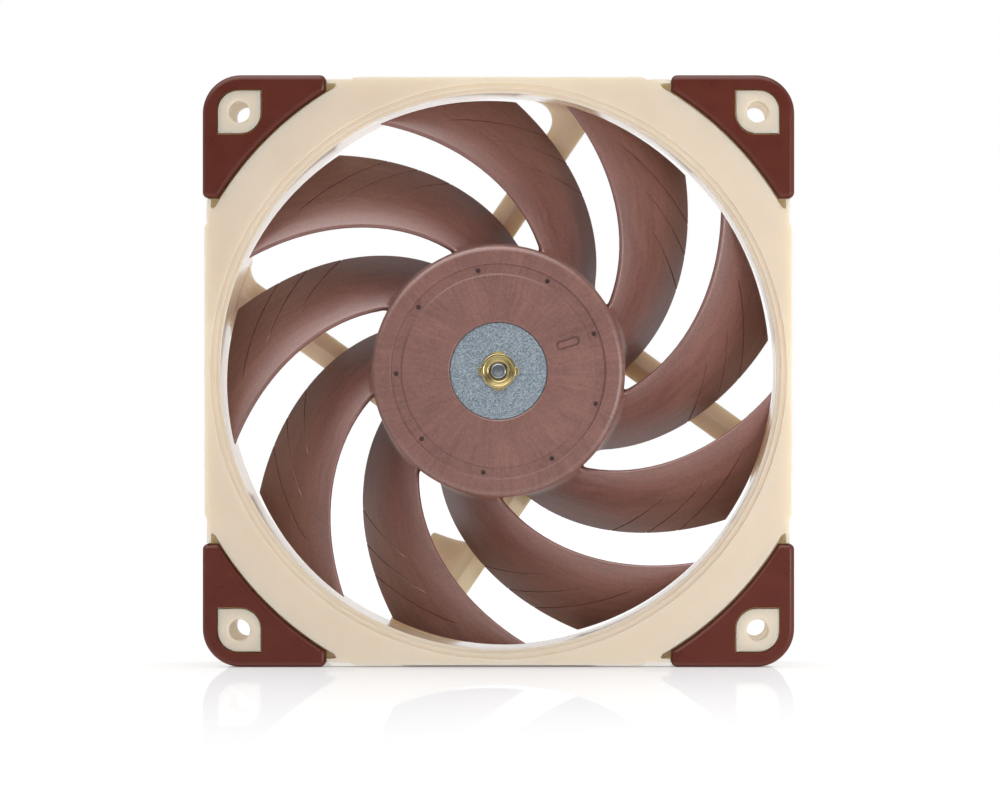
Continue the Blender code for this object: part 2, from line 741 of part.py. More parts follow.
def make_coil(index):
    """A winding round one pole's arm."""
    angle = POLE_ANGLE + 360 / POLES * index
    former = FINE_GAP + INSULATOR_THICKNESS + GAP
    inner_front = CORE_FRONT - former
    inner_rear = CORE_REAR + former
    low = (COIL_START, inner_front - COIL_BUILD, -COIL_OUTER_HALF)
    high = (COIL_END, inner_rear + COIL_BUILD, COIL_OUTER_HALF)
    coil = block(f"coil_{index + 1}", low, high, metal(f"coil_{index + 1}_copper", COPPER), angle)
    rounding = coil.modifiers.new("edges", "BEVEL")
    rounding.width = COIL_ROUNDING * MM
    rounding.segments = 2
    window = block(f"coil_window_{index}", (COIL_START - 2, inner_front, -COIL_INNER_HALF),
                   (COIL_END + 2, inner_rear, COIL_INNER_HALF), turn=angle)
    cut(coil, window)


def make_winding_pin(index):
    """One of the pins that stand on the rear former and hold the ends of the wires."""
    start = CORE_REAR + FINE_GAP + INSULATOR_THICKNESS + INSULATOR_COLLAR + FINE_GAP
    place = polar(PIN_CIRCLE, 360 / POLES * index)
    rod(f"winding_pin_{index + 1}", PIN_RADIUS, start, CHIP_BACK, PIN_STEPS,
        metal(f"winding_pin_{index + 1}_tin", DARK_STEEL), at=place)


def make_stator():
    make_stator_core()
    make_insulator("insulator_front", CORE_FRONT, -1)
    make_insulator("insulator_rear", CORE_REAR, 1)
    for index in range(POLES):
        make_coil(index)
        make_winding_pin(index)


# -------------------------------------------------------------------------------------- circuit board

def make_chip(name, radius, angle, length, width, height, colour):
    """A part soldered to the front of the board, with its length along the radius."""
    low = (radius - length / 2, CHIP_BACK - height, -width / 2)
    high = (radius + length / 2, CHIP_BACK, width / 2)
    block(name, low, high, plastic(f"{name}_body", colour), angle)


def make_circuit_board():
    profile = tube_profile(BOARD_INNER, BOARD_OUTER, BOARD_FRONT, BOARD_FRONT + BOARD_THICKNESS)
    turned("circuit_board", profile, HUB_STEPS, plastic("board_green", BOARD_GREEN))
    for chip in CHIPS:
        make_chip(*chip)


def make_rear_label():
    start = LABEL_FACE + FINE_GAP / 2
    rod("rear_label", LABEL_RADIUS, start, start + LABEL_THICKNESS, HUB_STEPS,
        plastic("label_foil", LAMINATION))


def main():
    clear_scene()
    make_frame()
    make_pads()
    make_impeller()
    make_rotor_cup()
    make_magnet_ring()
    make_hub_bush()
    make_shaft()
    make_retaining_clip()
    make_bearing()
    make_stator()
    make_circuit_board()
    make_rear_label()


main()
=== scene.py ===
"""The looks of the case fan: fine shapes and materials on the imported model, camera, lights and stage.

Shapes are made in millimetres in the model's own frame: +Z up, the spin axis along Y, the intake side
towards -Y. A place on the fan is given by its radius and its angle from +X towards +Z.
"""

import functools
import json
import math

import bmesh
import bpy
from mathutils import Matrix, Vector


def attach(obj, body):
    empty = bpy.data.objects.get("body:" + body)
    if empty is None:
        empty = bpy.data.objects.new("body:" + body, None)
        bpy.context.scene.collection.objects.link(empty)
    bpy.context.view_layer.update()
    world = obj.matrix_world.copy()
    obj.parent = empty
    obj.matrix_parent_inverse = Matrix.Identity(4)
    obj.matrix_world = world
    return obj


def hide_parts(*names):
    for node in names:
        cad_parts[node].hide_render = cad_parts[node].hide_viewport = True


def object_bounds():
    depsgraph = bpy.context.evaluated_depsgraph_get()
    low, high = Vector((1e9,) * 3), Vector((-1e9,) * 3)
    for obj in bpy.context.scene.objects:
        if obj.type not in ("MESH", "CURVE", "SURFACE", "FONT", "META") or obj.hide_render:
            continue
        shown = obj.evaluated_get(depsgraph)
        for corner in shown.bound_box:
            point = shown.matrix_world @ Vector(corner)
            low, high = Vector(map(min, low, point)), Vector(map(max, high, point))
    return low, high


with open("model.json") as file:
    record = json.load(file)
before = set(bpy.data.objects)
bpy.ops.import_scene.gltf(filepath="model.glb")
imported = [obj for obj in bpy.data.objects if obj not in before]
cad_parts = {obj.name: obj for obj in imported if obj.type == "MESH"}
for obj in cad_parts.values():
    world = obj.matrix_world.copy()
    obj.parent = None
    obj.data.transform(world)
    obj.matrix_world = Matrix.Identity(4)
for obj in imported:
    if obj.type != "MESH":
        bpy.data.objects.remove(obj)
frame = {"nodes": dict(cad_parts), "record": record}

cad_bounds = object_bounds()

MM = 0.001
HOUSING = "housing"
ROTOR = "rotor"
CORNERS = ("top_right", "top_left", "bottom_left", "bottom_right")

# Outline and depth
HALF = 60.0
FRONT = -12.5
REAR = 12.5
CORNER_RADIUS = 7.8
SIDE_PROUD = 59.6
SIDE_PROUD_LENGTH = 29.0
SIDE_STEP = 1.0
SIDE_BACK = 59.15
FRAME_EDGE = 0.25

# Duct and flanges
BORE_RADIUS = 56.35
INLET_RADIUS = 58.4
INLET_LAND_RADIUS = 57.3
INLET_STEP = 0.45
OUTLET_RADIUS = 57.2
OUTLET_LENGTH = 2.0
RING_RADIUS = 59.15
FLANGE = 4.8
FLAT_HALF = 20.0
WALL_OVERLAP = 1.0

# Screw holes and corner pads
HOLE_PLACE = 52.5
HOLE_RADIUS = 2.15
HOLE_CHAMFER = 0.35
BOSS_HALF = 4.3
BOSS_ROUND = 4.1
BOSS_EDGE = 0.1
PAD_LEG = 25.0
PAD_ARC_RADIUS = 66.7
PAD_THICKNESS = 3.2
PAD_EDGE = 1.15
PAD_TIP = 1.2
PAD_GAP = 0.28
PAD_END_GAP = 0.2
RECESS_DEPTH = 3.5
RECESS_ARC_RADIUS = 66.3
RECESS_TIP = 1.9
RECESS_TIP_INSET = 0.35
RECESS_TIP_TURN = 75
RECESS_RIM = 0.85
RECESS_OVERLAP = 0.8
RECESS_CORNER_INSET = 0.6

# How far joined bodies overlap, and how far a cutting body starts outside the part
LAP = 0.05
CUT_REACH = 1.0

# Rear struts: the direction each runs out in, and how far its middle line passes from the axis
STRUTS = ((55.8, 16.6), (144.4, 17.6), (235.8, 16.9), (324.4, 17.6))
STRUT_HALF = 3.15
STRUT_FRONT = 8.4
STRUT_SHOULDER = 9.9
STRUT_REAR = 12.3
STRUT_FLARE = 4.0
STRUT_FLARE_STEPS = 10
STRUT_OVERLAP = 0.3
CABLE_STRUT = 2
CHANNEL_INNER_RADIUS = 36.0
CHANNEL_OUTER_RADIUS = 57.55
CHANNEL_LEFT_ANGLE = 247.0
CHANNEL_LEFT_CORNER = 1.2
CHANNEL_LEFT_FLARE = 1.0
CHANNEL_FRONT = 9.3
CHANNEL_REAR = 12.1
CHANNEL_EDGE = 0.3
GROOVE_START = 19.4
GROOVE_HALF = 1.8
GROOVE_DEPTH = 2.2
GROOVE_ROUND = 0.6

# Motor base
BASE_RADIUS = 25.4
BASE_WALL = 1.4
BASE_FRONT = 8.3
BASE_FLOOR = 10.9
BASE_REAR = 12.4
COLLAR_RADIUS = 6.6
COLLAR_FRONT = 6.4
TUBE_SEAT_RADIUS = 5.2
TUBE_SEAT = 11.2
LABEL_RECESS = 22.0
LABEL_FACE = 12.0

# Hub
HUB_RADIUS = 25.7
HUB_INSIDE = 23.8
HUB_FRONT = -12.2
HUB_FACE = -11.95
HUB_PLATE_BACK = -10.6
HUB_REAR = 7.9
HUB_HOLE_RADIUS = 9.9
RING_GROOVE = (19.5, 21.9)
RING_SLOPE = 0.35
RING_GROOVE_FLOOR = -11.62
HUB_SHOULDER = 1.5
DIMPLES = 9
DIMPLE_CIRCLE = 20.75
DIMPLE_ANGLE = 21.4
DIMPLE_RADIUS = 0.5
DIMPLE_DEPTH = 0.9
SLOT_PLACE = (14.1, 5.7)
SLOT_TILT = 18.0
SLOT_HALF_LENGTH = 2.5
SLOT_RADIUS = 0.95
SLOT_GROOVE = 0.4
SLOT_DEPTH = 0.35

# Blades
BLADES = 9
TIP_RADIUS = 55.6
ROOT_RADIUS = 24.6
LEAD_ROOT_ANGLE = 70.7
LEAD_SWEEP = 45.0
LEAD_BOW = 0.9
TRAIL_ROOT_ANGLE = 41.4
TRAIL_SWEEP = 45.3
TRAIL_BOW = 1.9
LEAD_ROOT_DEPTH = -8.2
LEAD_TIP_DEPTH = -10.4
TRAIL_DEPTH = 6.0
CAMBER = 0.35
NOSE_HALF = 0.75
MIDDLE_HALF = 0.8
TAIL_HALF = 0.33
NOSE_CHORD = 0.045
TAIL_CHORD = 0.015
ROOT_FILLET = 1.0
# The last rows, which round the tip: how far in from it, and what share of the thickness is left
TIP_ROUNDING = ((0.25, 1.0), (0.07, 0.8), (0.0, 0.45))
# Each fine groove: its radius at the trailing edge, and the angle it spans from there
BLADE_GROOVES = ((39.95, 16.8), (44.8, 18.0), (49.05, 21.0))
BLADE_GROOVE_SLOPE = 0.161
BLADE_GROOVE_HALF = 0.18
BLADE_GROOVE_DEPTH = 0.2
BLADE_GROOVE_FADE = 2.5

# Hub bush and shaft end
BUSH_FRONT = -12.15
BUSH_RIM_RADIUS = 3.1
BUSH_COLLAR_RADIUS = 3.55
BUSH_COLLAR_BACK = -11.7
BUSH_BODY_RADIUS = 3.2
BUSH_REAR = -8.6
BUSH_BORE = 1.55
# The dish round the shaft, from the bore out: radius, depth behind the rim, and rounding
BUSH_DISH = (
    (1.74, 1.3, 0.05),
    (1.80, 0.75, 0.05),
    (2.3, 0.6, 0.1),
    (2.8, 0.22, 0.1),
    (2.95, 0.06, 0.05),
)
# Half the width and the reach of the tabs, from the right one round
TABS = ((0.8, 4.1), (1.15, 3.9), (0.8, 4.1), (1.15, 3.9))
SHAFT_RADIUS = 1.5
SHAFT_FRONT = -12.3
SHAFT_REAR = 8.0
# The front end with its fine ring, from the middle out: radius, depth behind the end, and rounding
SHAFT_END = (
    (0, 0.15, 0),
    (1.02, 0.15, 0.03),
    (1.06, 0.45, 0.03),
    (1.2, 0.45, 0.03),
    (1.24, 0, 0.08),
    (SHAFT_RADIUS, 0.12, 0.12),
)
CLIP_GROOVE = (6.0, 6.5)
CLIP_GROOVE_RADIUS = 1.15

# How much smoother the duct's wall is than the frame's satin faces
DUCT_POLISH = 0.30

# Facets and rows
SAME_PLACE = 0.0001
PLATE_WELD = 0.0005
ROUND_STEPS = 256
SMALL_STEPS = 96
HOLE_STEPS = 48
DIMPLE_STEPS = 20
BLADE_ROW_GAP = 1.3
UNDER_HUB = 0.2
FILLET_ROWS = 6
FILLET_SPREAD = 1.5
TIP_ROWS = 5
GROOVE_ROWS = (-1.6, -1, -0.5, 0, 0.5, 1, 1.6)
FRONT_CHORD_STEPS = 40
BACK_CHORD_STEPS = 10
NOSE_STEPS = 5
TAIL_STEPS = 3

# The view: the camera looks along +Y from a little right of the spin axis and a little below it
CAMERA_X = 0.023
CAMERA_Z = -0.006
CAMERA_DISTANCE = 1.04
FRAME_WIDTH = 0.2026
VIEW_SHIFT_X = -0.1119
VIEW_SHIFT_Y = 0.0006
VIEW_END = 20.0
SENSOR = 36.0

# The stage, in metres. Each lamp: its place, its width and its watts. The second one stands low at
# the right, just above the table.
LAMPS = {
    "lamp_above": ((0.08, -1.06, 1.20), 1.3, 0.5),
    "lamp_beside": ((0.25, -0.25, -0.01), 0.1, 0.35),
}
FLOOR_HALF = 2.5
FLOOR_DROP = 0.00005
# How far the painted shadow on the table reaches round the fan, in metres
CONTACT_SHADE = 0.003
# The direction of the bright patch that only shiny surfaces see
SOFTBOX_WAY = (-0.20, -0.38, 0.90)


# ---------------------------------------- outline helpers

def polar(radius, degrees):
    angle = math.radians(degrees)
    return (radius * math.cos(angle), radius * math.sin(angle))


def arc(radius, start, end, steps, centre=(0, 0)):
    """Points on an arc between two angles in degrees."""
    points = []
    for step in range(steps + 1):
        x, z = polar(radius, start + (end - start) * step / steps)
        points.append((centre[0] + x, centre[1] + z))
    return points


def circle(radius, steps, centre=(0, 0)):
    return arc(radius, 0, 360, steps, centre)[:-1]


def turn_points(points, degrees):
    cosine, sine = polar(1, degrees)
    return [(x * cosine - z * sine, x * sine + z * cosine) for x, z in points]


def rounded(corners, steps=5):
    """A closed outline from (x, y, radius) corners, each rounded to its radius."""
    outline = []
    for index, (x, y, radius) in enumerate(corners):
        here = Vector((x, y))
        if radius == 0:
            outline.append((x, y))
            continue
        back = (Vector(corners[index - 1][:2]) - here).normalized()
        ahead = (Vector(corners[(index + 1) % len(corners)][:2]) - here).normalized()
        half = back.angle(ahead) / 2
        centre = here + (back + ahead).normalized() * radius / math.sin(half)
        start = here + back * radius / math.tan(half) - centre
        end = here + ahead * radius / math.tan(half) - centre
        first = math.atan2(start.y, start.x)
        sweep = math.remainder(math.atan2(end.y, end.x) - first, math.tau)
        for step in range(steps + 1):
            angle = first + sweep * step / steps
            away, up = radius * math.cos(angle), radius * math.sin(angle)
            outline.append((centre.x + away, centre.y + up))
    return outline


# ---------------------------------------- mesh helpers

def spin_turn(degrees):
    return Matrix.Rotation(math.radians(-degrees), 3, "Y")


def make_piece(name, *shells, sharp=35.0):
    """Joins bmeshes in millimetres into one object in metres."""
    whole = bmesh.new()
    for shell in shells:
        carrier = bpy.data.meshes.new("carrier")
        shell.to_mesh(carrier)
        shell.free()
        whole.from_mesh(carrier)
        bpy.data.meshes.remove(carrier)
    bmesh.ops.recalc_face_normals(whole, faces=whole.faces)
    bmesh.ops.scale(whole, vec=(MM, MM, MM), verts=whole.verts)
    mesh = bpy.data.meshes.new(name)
    whole.to_mesh(mesh)
    whole.free()
    smooth(mesh, sharp)
    piece = bpy.data.objects.new(name, mesh)
    bpy.context.scene.collection.objects.link(piece)
    return piece


def smooth(mesh, sharp):
    mesh.shade_smooth()
    mesh.set_sharp_from_angle(angle=math.radians(sharp))


def flatten_shading(piece):
    """Keeps the wide flat faces flat between their rounded rims."""
    step = piece.modifiers.new("flat_faces", "WEIGHTED_NORMAL")
    step.keep_sharp = True
    step.weight = 90


def turned(profile, steps):
    """Turns a closed outline of (radius, depth) points about the spin axis."""
    bm = bmesh.new()
    corners = [bm.verts.new((radius, depth, 0)) for radius, depth in profile]
    for here, there in zip(corners, corners[1:] + corners[:1]):
        if here.co.x > 0 or there.co.x > 0:
            bm.edges.new((here, there))
    bmesh.ops.spin(
        bm, geom=bm.verts[:] + bm.edges[:], cent=(0, 0, 0), axis=(0, 1, 0),
        angle=math.tau, steps=steps, use_merge=True)
    bmesh.ops.remove_doubles(bm, verts=bm.verts, dist=SAME_PLACE)
    return bm


def prism(outline, start, end):
    """Extrudes a closed outline of (x, z) points in depth."""
    bm = bmesh.new()
    face = bm.faces.new([bm.verts.new((x, start, z)) for x, z in outline])
    grown = bmesh.ops.extrude_face_region(bm, geom=[face])
    moved = [part for part in grown["geom"] if isinstance(part, bmesh.types.BMVert)]
    bmesh.ops.translate(bm, vec=(0, end - start, 0), verts=moved)
    return bm


def round_front(bm, depth, width, segments):
    """Rounds the rim of a prism's end face at that depth."""
    rim = [edge for edge in bm.edges if all(abs(v.co.y - depth) < SAME_PLACE for v in edge.verts)]
    bmesh.ops.bevel(
        bm, geom=rim, offset=width, offset_type="OFFSET", segments=segments, profile=0.5,
        affect="EDGES", clamp_overlap=True)
    return bm


def plate(outlines, start, end, edge, segments=2):
    """A flat plate with rounded rims. An outline inside another is a hole in it."""
    curve = bpy.data.curves.new("plate", "CURVE")
    curve.dimensions = "2D"
    curve.fill_mode = "BOTH"
    curve.extrude = (end - start) / 2 - edge
    curve.bevel_depth = edge
    curve.bevel_resolution = segments
    curve.offset = -edge
    for outline in outlines:
        spline = curve.splines.new("POLY")
        spline.points.add(len(outline) - 1)
        spline.use_cyclic_u = True
        for point, (x, z) in zip(spline.points, outline):
            point.co = (x, z, 0, 1)
    carrier = bpy.data.objects.new("plate", curve)
    bpy.context.scene.collection.objects.link(carrier)
    bpy.context.view_layer.update()
    evaluated = carrier.evaluated_get(bpy.context.evaluated_depsgraph_get())
    mesh = bpy.data.meshes.new_from_object(evaluated)
    bpy.data.objects.remove(carrier)
    bm = bmesh.new()
    bm.from_mesh(mesh)
    bpy.data.meshes.remove(mesh)
    bmesh.ops.remove_doubles(bm, verts=bm.verts, dist=PLATE_WELD)
    upright = Matrix.Translation((0, (start + end) / 2, 0)) @ Matrix.Rotation(math.pi / 2, 4, "X")
    bmesh.ops.transform(bm, matrix=upright, verts=bm.verts)
    return bm


def carve(piece, *shells, sharp=35.0):
    """Fuses a piece's overlapping bodies into one and cuts closed bmeshes in millimetres out of it."""
    tool = make_piece("carving_tool", *shells)
    step = piece.modifiers.new("carve", "BOOLEAN")
    step.operation = "DIFFERENCE"
    step.object = tool
    step.solver = "EXACT"
    step.use_self = True
    bpy.context.view_layer.update()
    evaluated = piece.evaluated_get(bpy.context.evaluated_depsgraph_get())
    carved = bpy.data.meshes.new_from_object(evaluated)
    piece.modifiers.clear()
    piece.data = carved
    bpy.data.objects.remove(tool)
    smooth(carved, sharp)


# ---------------------------------------- frame

def flange_outline():
    """The frame's outline without its corner pockets: a side and the pocket after it, four times."""
    edge = HALF - PAD_LEG - PAD_END_GAP
    rim = SIDE_BACK - RECESS_RIM
    tip = edge - RECESS_TIP
    slope = math.degrees(math.asin((tip + RECESS_TIP_INSET) / RECESS_ARC_RADIUS))
    tip_radius = RECESS_RIM / 2
    side = [
        (SIDE_BACK, -edge),
        (SIDE_BACK, -SIDE_PROUD_LENGTH - SIDE_STEP),
        (SIDE_PROUD, -SIDE_PROUD_LENGTH),
        (SIDE_PROUD, SIDE_PROUD_LENGTH),
        (SIDE_BACK, SIDE_PROUD_LENGTH + SIDE_STEP),
        (SIDE_BACK, edge),
        (rim, edge),
    ]
    side += arc(tip_radius, 0, -RECESS_TIP_TURN, 4, (rim - tip_radius, tip + tip_radius))
    side += arc(RECESS_ARC_RADIUS, slope, 90 - slope, 40)
    side += arc(tip_radius, 90 + RECESS_TIP_TURN, 90, 4, (tip + tip_radius, rim - tip_radius))
    side += [(edge, rim)]
    outline = []
    for quarter in range(4):
        outline += turn_points(side, 90 * quarter)
    return outline


def leaf_outline(half, rounding, steps=10):
    """The outline round a screw hole: a square whose inner and outer corners are rounded."""
    near = HOLE_PLACE - half + rounding
    far = HOLE_PLACE + half - rounding
    outline = [(HOLE_PLACE + half, HOLE_PLACE - half)]
    outline += arc(rounding, 0, 90, steps, (far, far))
    outline += [(HOLE_PLACE - half, HOLE_PLACE + half)]
    outline += arc(rounding, 180, 270, steps, (near, near))
    return outline


def pocket_floor_outline():
    """The floor of a corner pocket, which runs in under the flange."""
    rounding = CORNER_RADIUS - RECESS_CORNER_INSET
    inner = SIDE_BACK - rounding
    near = HALF - PAD_LEG - RECESS_TIP - RECESS_OVERLAP
    slope = math.degrees(math.asin(near / (RECESS_ARC_RADIUS - RECESS_OVERLAP)))
    outline = [(SIDE_BACK, near)]
    outline += arc(rounding, 0, 90, 10, (inner, inner))
    outline += [(near, SIDE_BACK)]
    outline += arc(RECESS_ARC_RADIUS - RECESS_OVERLAP, 90 - slope, slope, 24)
    return outline


def flange(face):
    """One flange with its four pockets and bosses. Face is the depth of its outer side."""
    inward = 1 if face < 0 else -1
    back = face + inward * FLANGE
    floor = face + inward * RECESS_DEPTH
    bed_back = back - inward * LAP
    boss_back = floor + inward * (FLANGE - RECESS_DEPTH) / 2
    outlines = [flange_outline(), circle(INLET_RADIUS, ROUND_STEPS)]
    shells = [plate(outlines, min(face, back), max(face, back), FRAME_EDGE / 2)]
    for corner in range(4):
        boss = turn_points(leaf_outline(BOSS_HALF, BOSS_ROUND), 90 * corner)
        bed = turn_points(pocket_floor_outline(), 90 * corner)
        shells.append(plate([boss], min(face, boss_back), max(face, boss_back), BOSS_EDGE))
        shells.append(plate([bed], min(floor, bed_back), max(floor, bed_back), BOSS_EDGE / 2))
    return shells


def screw_hole(corner):
    """Cuts one corner's hole through both flanges, with a small chamfer at each outer face."""
    wide = HOLE_RADIUS + HOLE_CHAMFER + CUT_REACH
    profile = [
        (0, FRONT - CUT_REACH),
        (wide, FRONT - CUT_REACH),
        (HOLE_RADIUS, FRONT + HOLE_CHAMFER),
        (HOLE_RADIUS, REAR - HOLE_CHAMFER),
        (wide, REAR + CUT_REACH),
        (0, REAR + CUT_REACH),
    ]
    bm = turned(profile, HOLE_STEPS)
    (x, z), = turn_points([(HOLE_PLACE, HOLE_PLACE)], 90 * corner)
    bmesh.ops.translate(bm, vec=(x, 0, z), verts=bm.verts)
    return bm


def duct_ring():
    """The duct, with two fine steps at its mouth and a flare at its outlet."""
    corners = [
        (RING_RADIUS, FRONT + INLET_STEP, 0),
        (INLET_LAND_RADIUS, FRONT + INLET_STEP, 0.12),
        (INLET_LAND_RADIUS, FRONT + 2 * INLET_STEP, 0.05),
        (BORE_RADIUS + 0.02, FRONT + 2 * INLET_STEP, 0.25),
        (BORE_RADIUS, REAR - OUTLET_LENGTH, 6.0),
        (OUTLET_RADIUS, REAR - LAP, 0.3),
        (RING_RADIUS, REAR - LAP, 0),
    ]
    return turned(rounded(corners), ROUND_STEPS)


def side_wall(side):
    """The flat wall between the flanges in the middle of a side."""
    inner = RING_RADIUS - WALL_OVERLAP
    reach = REAR - FLANGE + WALL_OVERLAP
    slope = math.degrees(math.asin(FLAT_HALF / inner))
    outline = [(SIDE_PROUD - LAP, -FLAT_HALF), (SIDE_PROUD - LAP, FLAT_HALF)]
    outline += arc(inner, slope, -slope, 16)
    return prism(turn_points(outline, 90 * side), -reach, reach)


def strut_side(offset, side):
    """One side of a strut as (reach, across) points: straight, then round into the duct."""
    edge = offset + side * STRUT_HALF
    inner = math.sqrt((BASE_RADIUS - BASE_WALL / 2) ** 2 - edge ** 2)
    across = edge + side * STRUT_FLARE
    centre = (math.sqrt((BORE_RADIUS - STRUT_FLARE) ** 2 - across ** 2), across)
    finish = math.degrees(math.atan2(centre[1], centre[0]))
    fillet = arc(STRUT_FLARE, -90 * side, finish, STRUT_FLARE_STEPS, centre)
    return [(inner, edge)] + fillet + [polar(RING_RADIUS - STRUT_OVERLAP, finish)]


def strut(index):
    """A ridged bar from the motor base to the duct, with a fillet on both sides of its outer end."""
    direction, offset = STRUTS[index]
    bm = bmesh.new()
    rings = []
    for near_side, far_side in zip(strut_side(offset, -1), strut_side(offset, 1)):
        middle = (Vector(near_side) + Vector(far_side)) / 2
        half = (Vector(far_side) - Vector(near_side)) / 2
        corners = [
            (-half.length, STRUT_REAR, 0.3),
            (half.length, STRUT_REAR, 0.3),
            (half.length, STRUT_SHOULDER, 0.35),
            (0, STRUT_FRONT, 1.0),
            (-half.length, STRUT_SHOULDER, 0.35),
        ]
        ring = []
        for across, depth in rounded(corners, 3):
            place_at = middle + half.normalized() * across
            ring.append(bm.verts.new((place_at.x, depth, place_at.y)))
        rings.append(ring)
    for near, far in zip(rings, rings[1:]):
        for corner in range(len(near)):
            beside = (corner + 1) % len(near)
            bm.faces.new((near[corner], near[beside], far[beside], far[corner]))
    bm.faces.new(rings[0])
    bm.faces.new(rings[-1])
    bmesh.ops.rotate(bm, cent=(0, 0, 0), matrix=spin_turn(direction), verts=bm.verts)
    return bm


def cable_channel():
    """The plate beside the lower strut, over the leads."""
    direction, offset = STRUTS[CABLE_STRUT]
    inner_angle = direction + math.degrees(math.asin(offset / CHANNEL_INNER_RADIUS))
    outer_angle = direction + math.degrees(math.asin(offset / CHANNEL_OUTER_RADIUS))
    inner_start = CHANNEL_LEFT_ANGLE + CHANNEL_LEFT_CORNER
    outer_end = CHANNEL_LEFT_ANGLE - CHANNEL_LEFT_FLARE
    edges = arc(CHANNEL_INNER_RADIUS, inner_start, inner_angle, 8)
    edges += arc(CHANNEL_OUTER_RADIUS, outer_angle, outer_end, 10)
    outline = [(*point, 0) for point in edges]
    outline += [(*polar(CHANNEL_INNER_RADIUS, CHANNEL_LEFT_ANGLE), 0.7)]
    channel = prism(rounded(outline), CHANNEL_FRONT, CHANNEL_REAR)
    return round_front(channel, CHANNEL_FRONT, CHANNEL_EDGE, 3)


def motor_base():
    """The cup that carries the motor, with the collar round the bearing tube's seat."""
    corners = [
        (0, TUBE_SEAT, 0),
        (TUBE_SEAT_RADIUS, TUBE_SEAT, 0),
        (TUBE_SEAT_RADIUS, COLLAR_FRONT, 0.2),
        (COLLAR_RADIUS, COLLAR_FRONT, 0.3),
        (COLLAR_RADIUS, BASE_FLOOR, 0.5),
        (BASE_RADIUS - BASE_WALL, BASE_FLOOR, 0.5),
        (BASE_RADIUS - BASE_WALL, BASE_FRONT, 0.2),
        (BASE_RADIUS, BASE_FRONT, 0.4),
        (BASE_RADIUS, BASE_REAR, 0.9),
        (LABEL_RECESS, BASE_REAR, 0.15),
        (LABEL_RECESS, LABEL_FACE, 0.1),
        (0, LABEL_FACE, 0),
    ]
    return turned(rounded(corners), ROUND_STEPS // 2)


def cable_groove():
    """The groove for the leads in the back of the lower strut and through the rear flange."""
    direction, offset = STRUTS[CABLE_STRUT]
    section = [
        (offset - GROOVE_HALF, REAR + CUT_REACH, 0),
        (offset - GROOVE_HALF, STRUT_REAR - GROOVE_DEPTH, GROOVE_ROUND),
        (offset + GROOVE_HALF, STRUT_REAR - GROOVE_DEPTH, GROOVE_ROUND),
        (offset + GROOVE_HALF, REAR + CUT_REACH, 0),
    ]
    bm = bmesh.new()
    corners = [bm.verts.new((GROOVE_START, depth, across)) for across, depth in rounded(section)]
    face = bm.faces.new(corners)
    grown = bmesh.ops.extrude_face_region(bm, geom=[face])
    moved = [part for part in grown["geom"] if isinstance(part, bmesh.types.BMVert)]
    bmesh.ops.translate(bm, vec=(HALF, 0, 0), verts=moved)
    bmesh.ops.rotate(bm, cent=(0, 0, 0), matrix=spin_turn(direction), verts=bm.verts)
    return bm


def make_frame():
    """One moulding: flanges, duct, side walls, struts, cable channel and motor base."""
    shells = flange(FRONT) + flange(REAR)
    shells.append(duct_ring())
    shells += [side_wall(side) for side in range(4)]
    shells += [strut(index) for index in range(len(STRUTS))]
    shells += [cable_channel(), motor_base()]
    moulding = make_piece("frame_moulding", *shells)
    carve(moulding, cable_groove(), *[screw_hole(corner) for corner in range(4)])
    flatten_shading(moulding)
    place(moulding, HOUSING, "beige_plastic", beige_plastic(), "frame")


# ---------------------------------------- pads

def pad_outline():
    """A corner's outline seen from the front: two straight legs, and a slightly hollow long side."""
    end = HALF - PAD_LEG
    inner = HALF - CORNER_RADIUS
    slope = math.degrees(math.acos(end / PAD_ARC_RADIUS))
    corners = [(HALF, end, PAD_TIP)]
    corners += [(*point, 0) for point in arc(CORNER_RADIUS, 0, 90, 16, (inner, inner))]
    corners += [(end, HALF, PAD_TIP)]
    corners += [(*point, 0) for point in arc(PAD_ARC_RADIUS, slope, 90 - slope, 30)]
    return rounded(corners)


def make_pad(side, corner):
    """A soft corner pad with a rounded front rim, fitted round the boss."""
    face = FRONT if side == "front" else REAR
    back = face + PAD_THICKNESS * (1 if face < 0 else -1)
    body = prism(turn_points(pad_outline(), 90 * corner), face, back)
    round_front(body, face, PAD_EDGE, 6)
    node = f"{side}_pad_{CORNERS[corner]}"
    pad = make_piece(f"soft_{node}", body)
    opening = turn_points(leaf_outline(BOSS_HALF + PAD_GAP, BOSS_ROUND + PAD_GAP), 90 * corner)
    carve(pad, prism(opening, -HALF, HALF))
    flatten_shading(pad)
    place(pad, HOUSING, "brown_rubber", brown_rubber(), node)


# ---------------------------------------- impeller

def span_at(radius):
    """How far out along the blade a radius lies: 0 at the hub and 1 at the tip."""
    return (radius - HUB_RADIUS) / (TIP_RADIUS - HUB_RADIUS)


def edge_angle(root_angle, sweep, bow, span):
    """The angle of a blade's edge: an even sweep with a small bulge at mid span."""
    return root_angle + sweep * span + bow * 4 * span * (1 - span)


def lead_angle(radius):
    return edge_angle(LEAD_ROOT_ANGLE, LEAD_SWEEP, LEAD_BOW, span_at(radius))


def trail_angle(radius):
    return edge_angle(TRAIL_ROOT_ANGLE, TRAIL_SWEEP, TRAIL_BOW, span_at(radius))


def blade_angle(radius, chord):
    lead = lead_angle(radius)
    return lead + (trail_angle(radius) - lead) * chord


def blade_point(radius, chord):
    """A point on the blade's middle surface. Chord is 0 at the leading edge and 1 at the trailing."""
    x, z = polar(radius, blade_angle(radius, chord))
    lead_depth = LEAD_ROOT_DEPTH + (LEAD_TIP_DEPTH - LEAD_ROOT_DEPTH) * span_at(radius)
    depth = lead_depth + (TRAIL_DEPTH - lead_depth) * ((1 - CAMBER) * chord + CAMBER * chord ** 2)
    return Vector((x, depth, z))


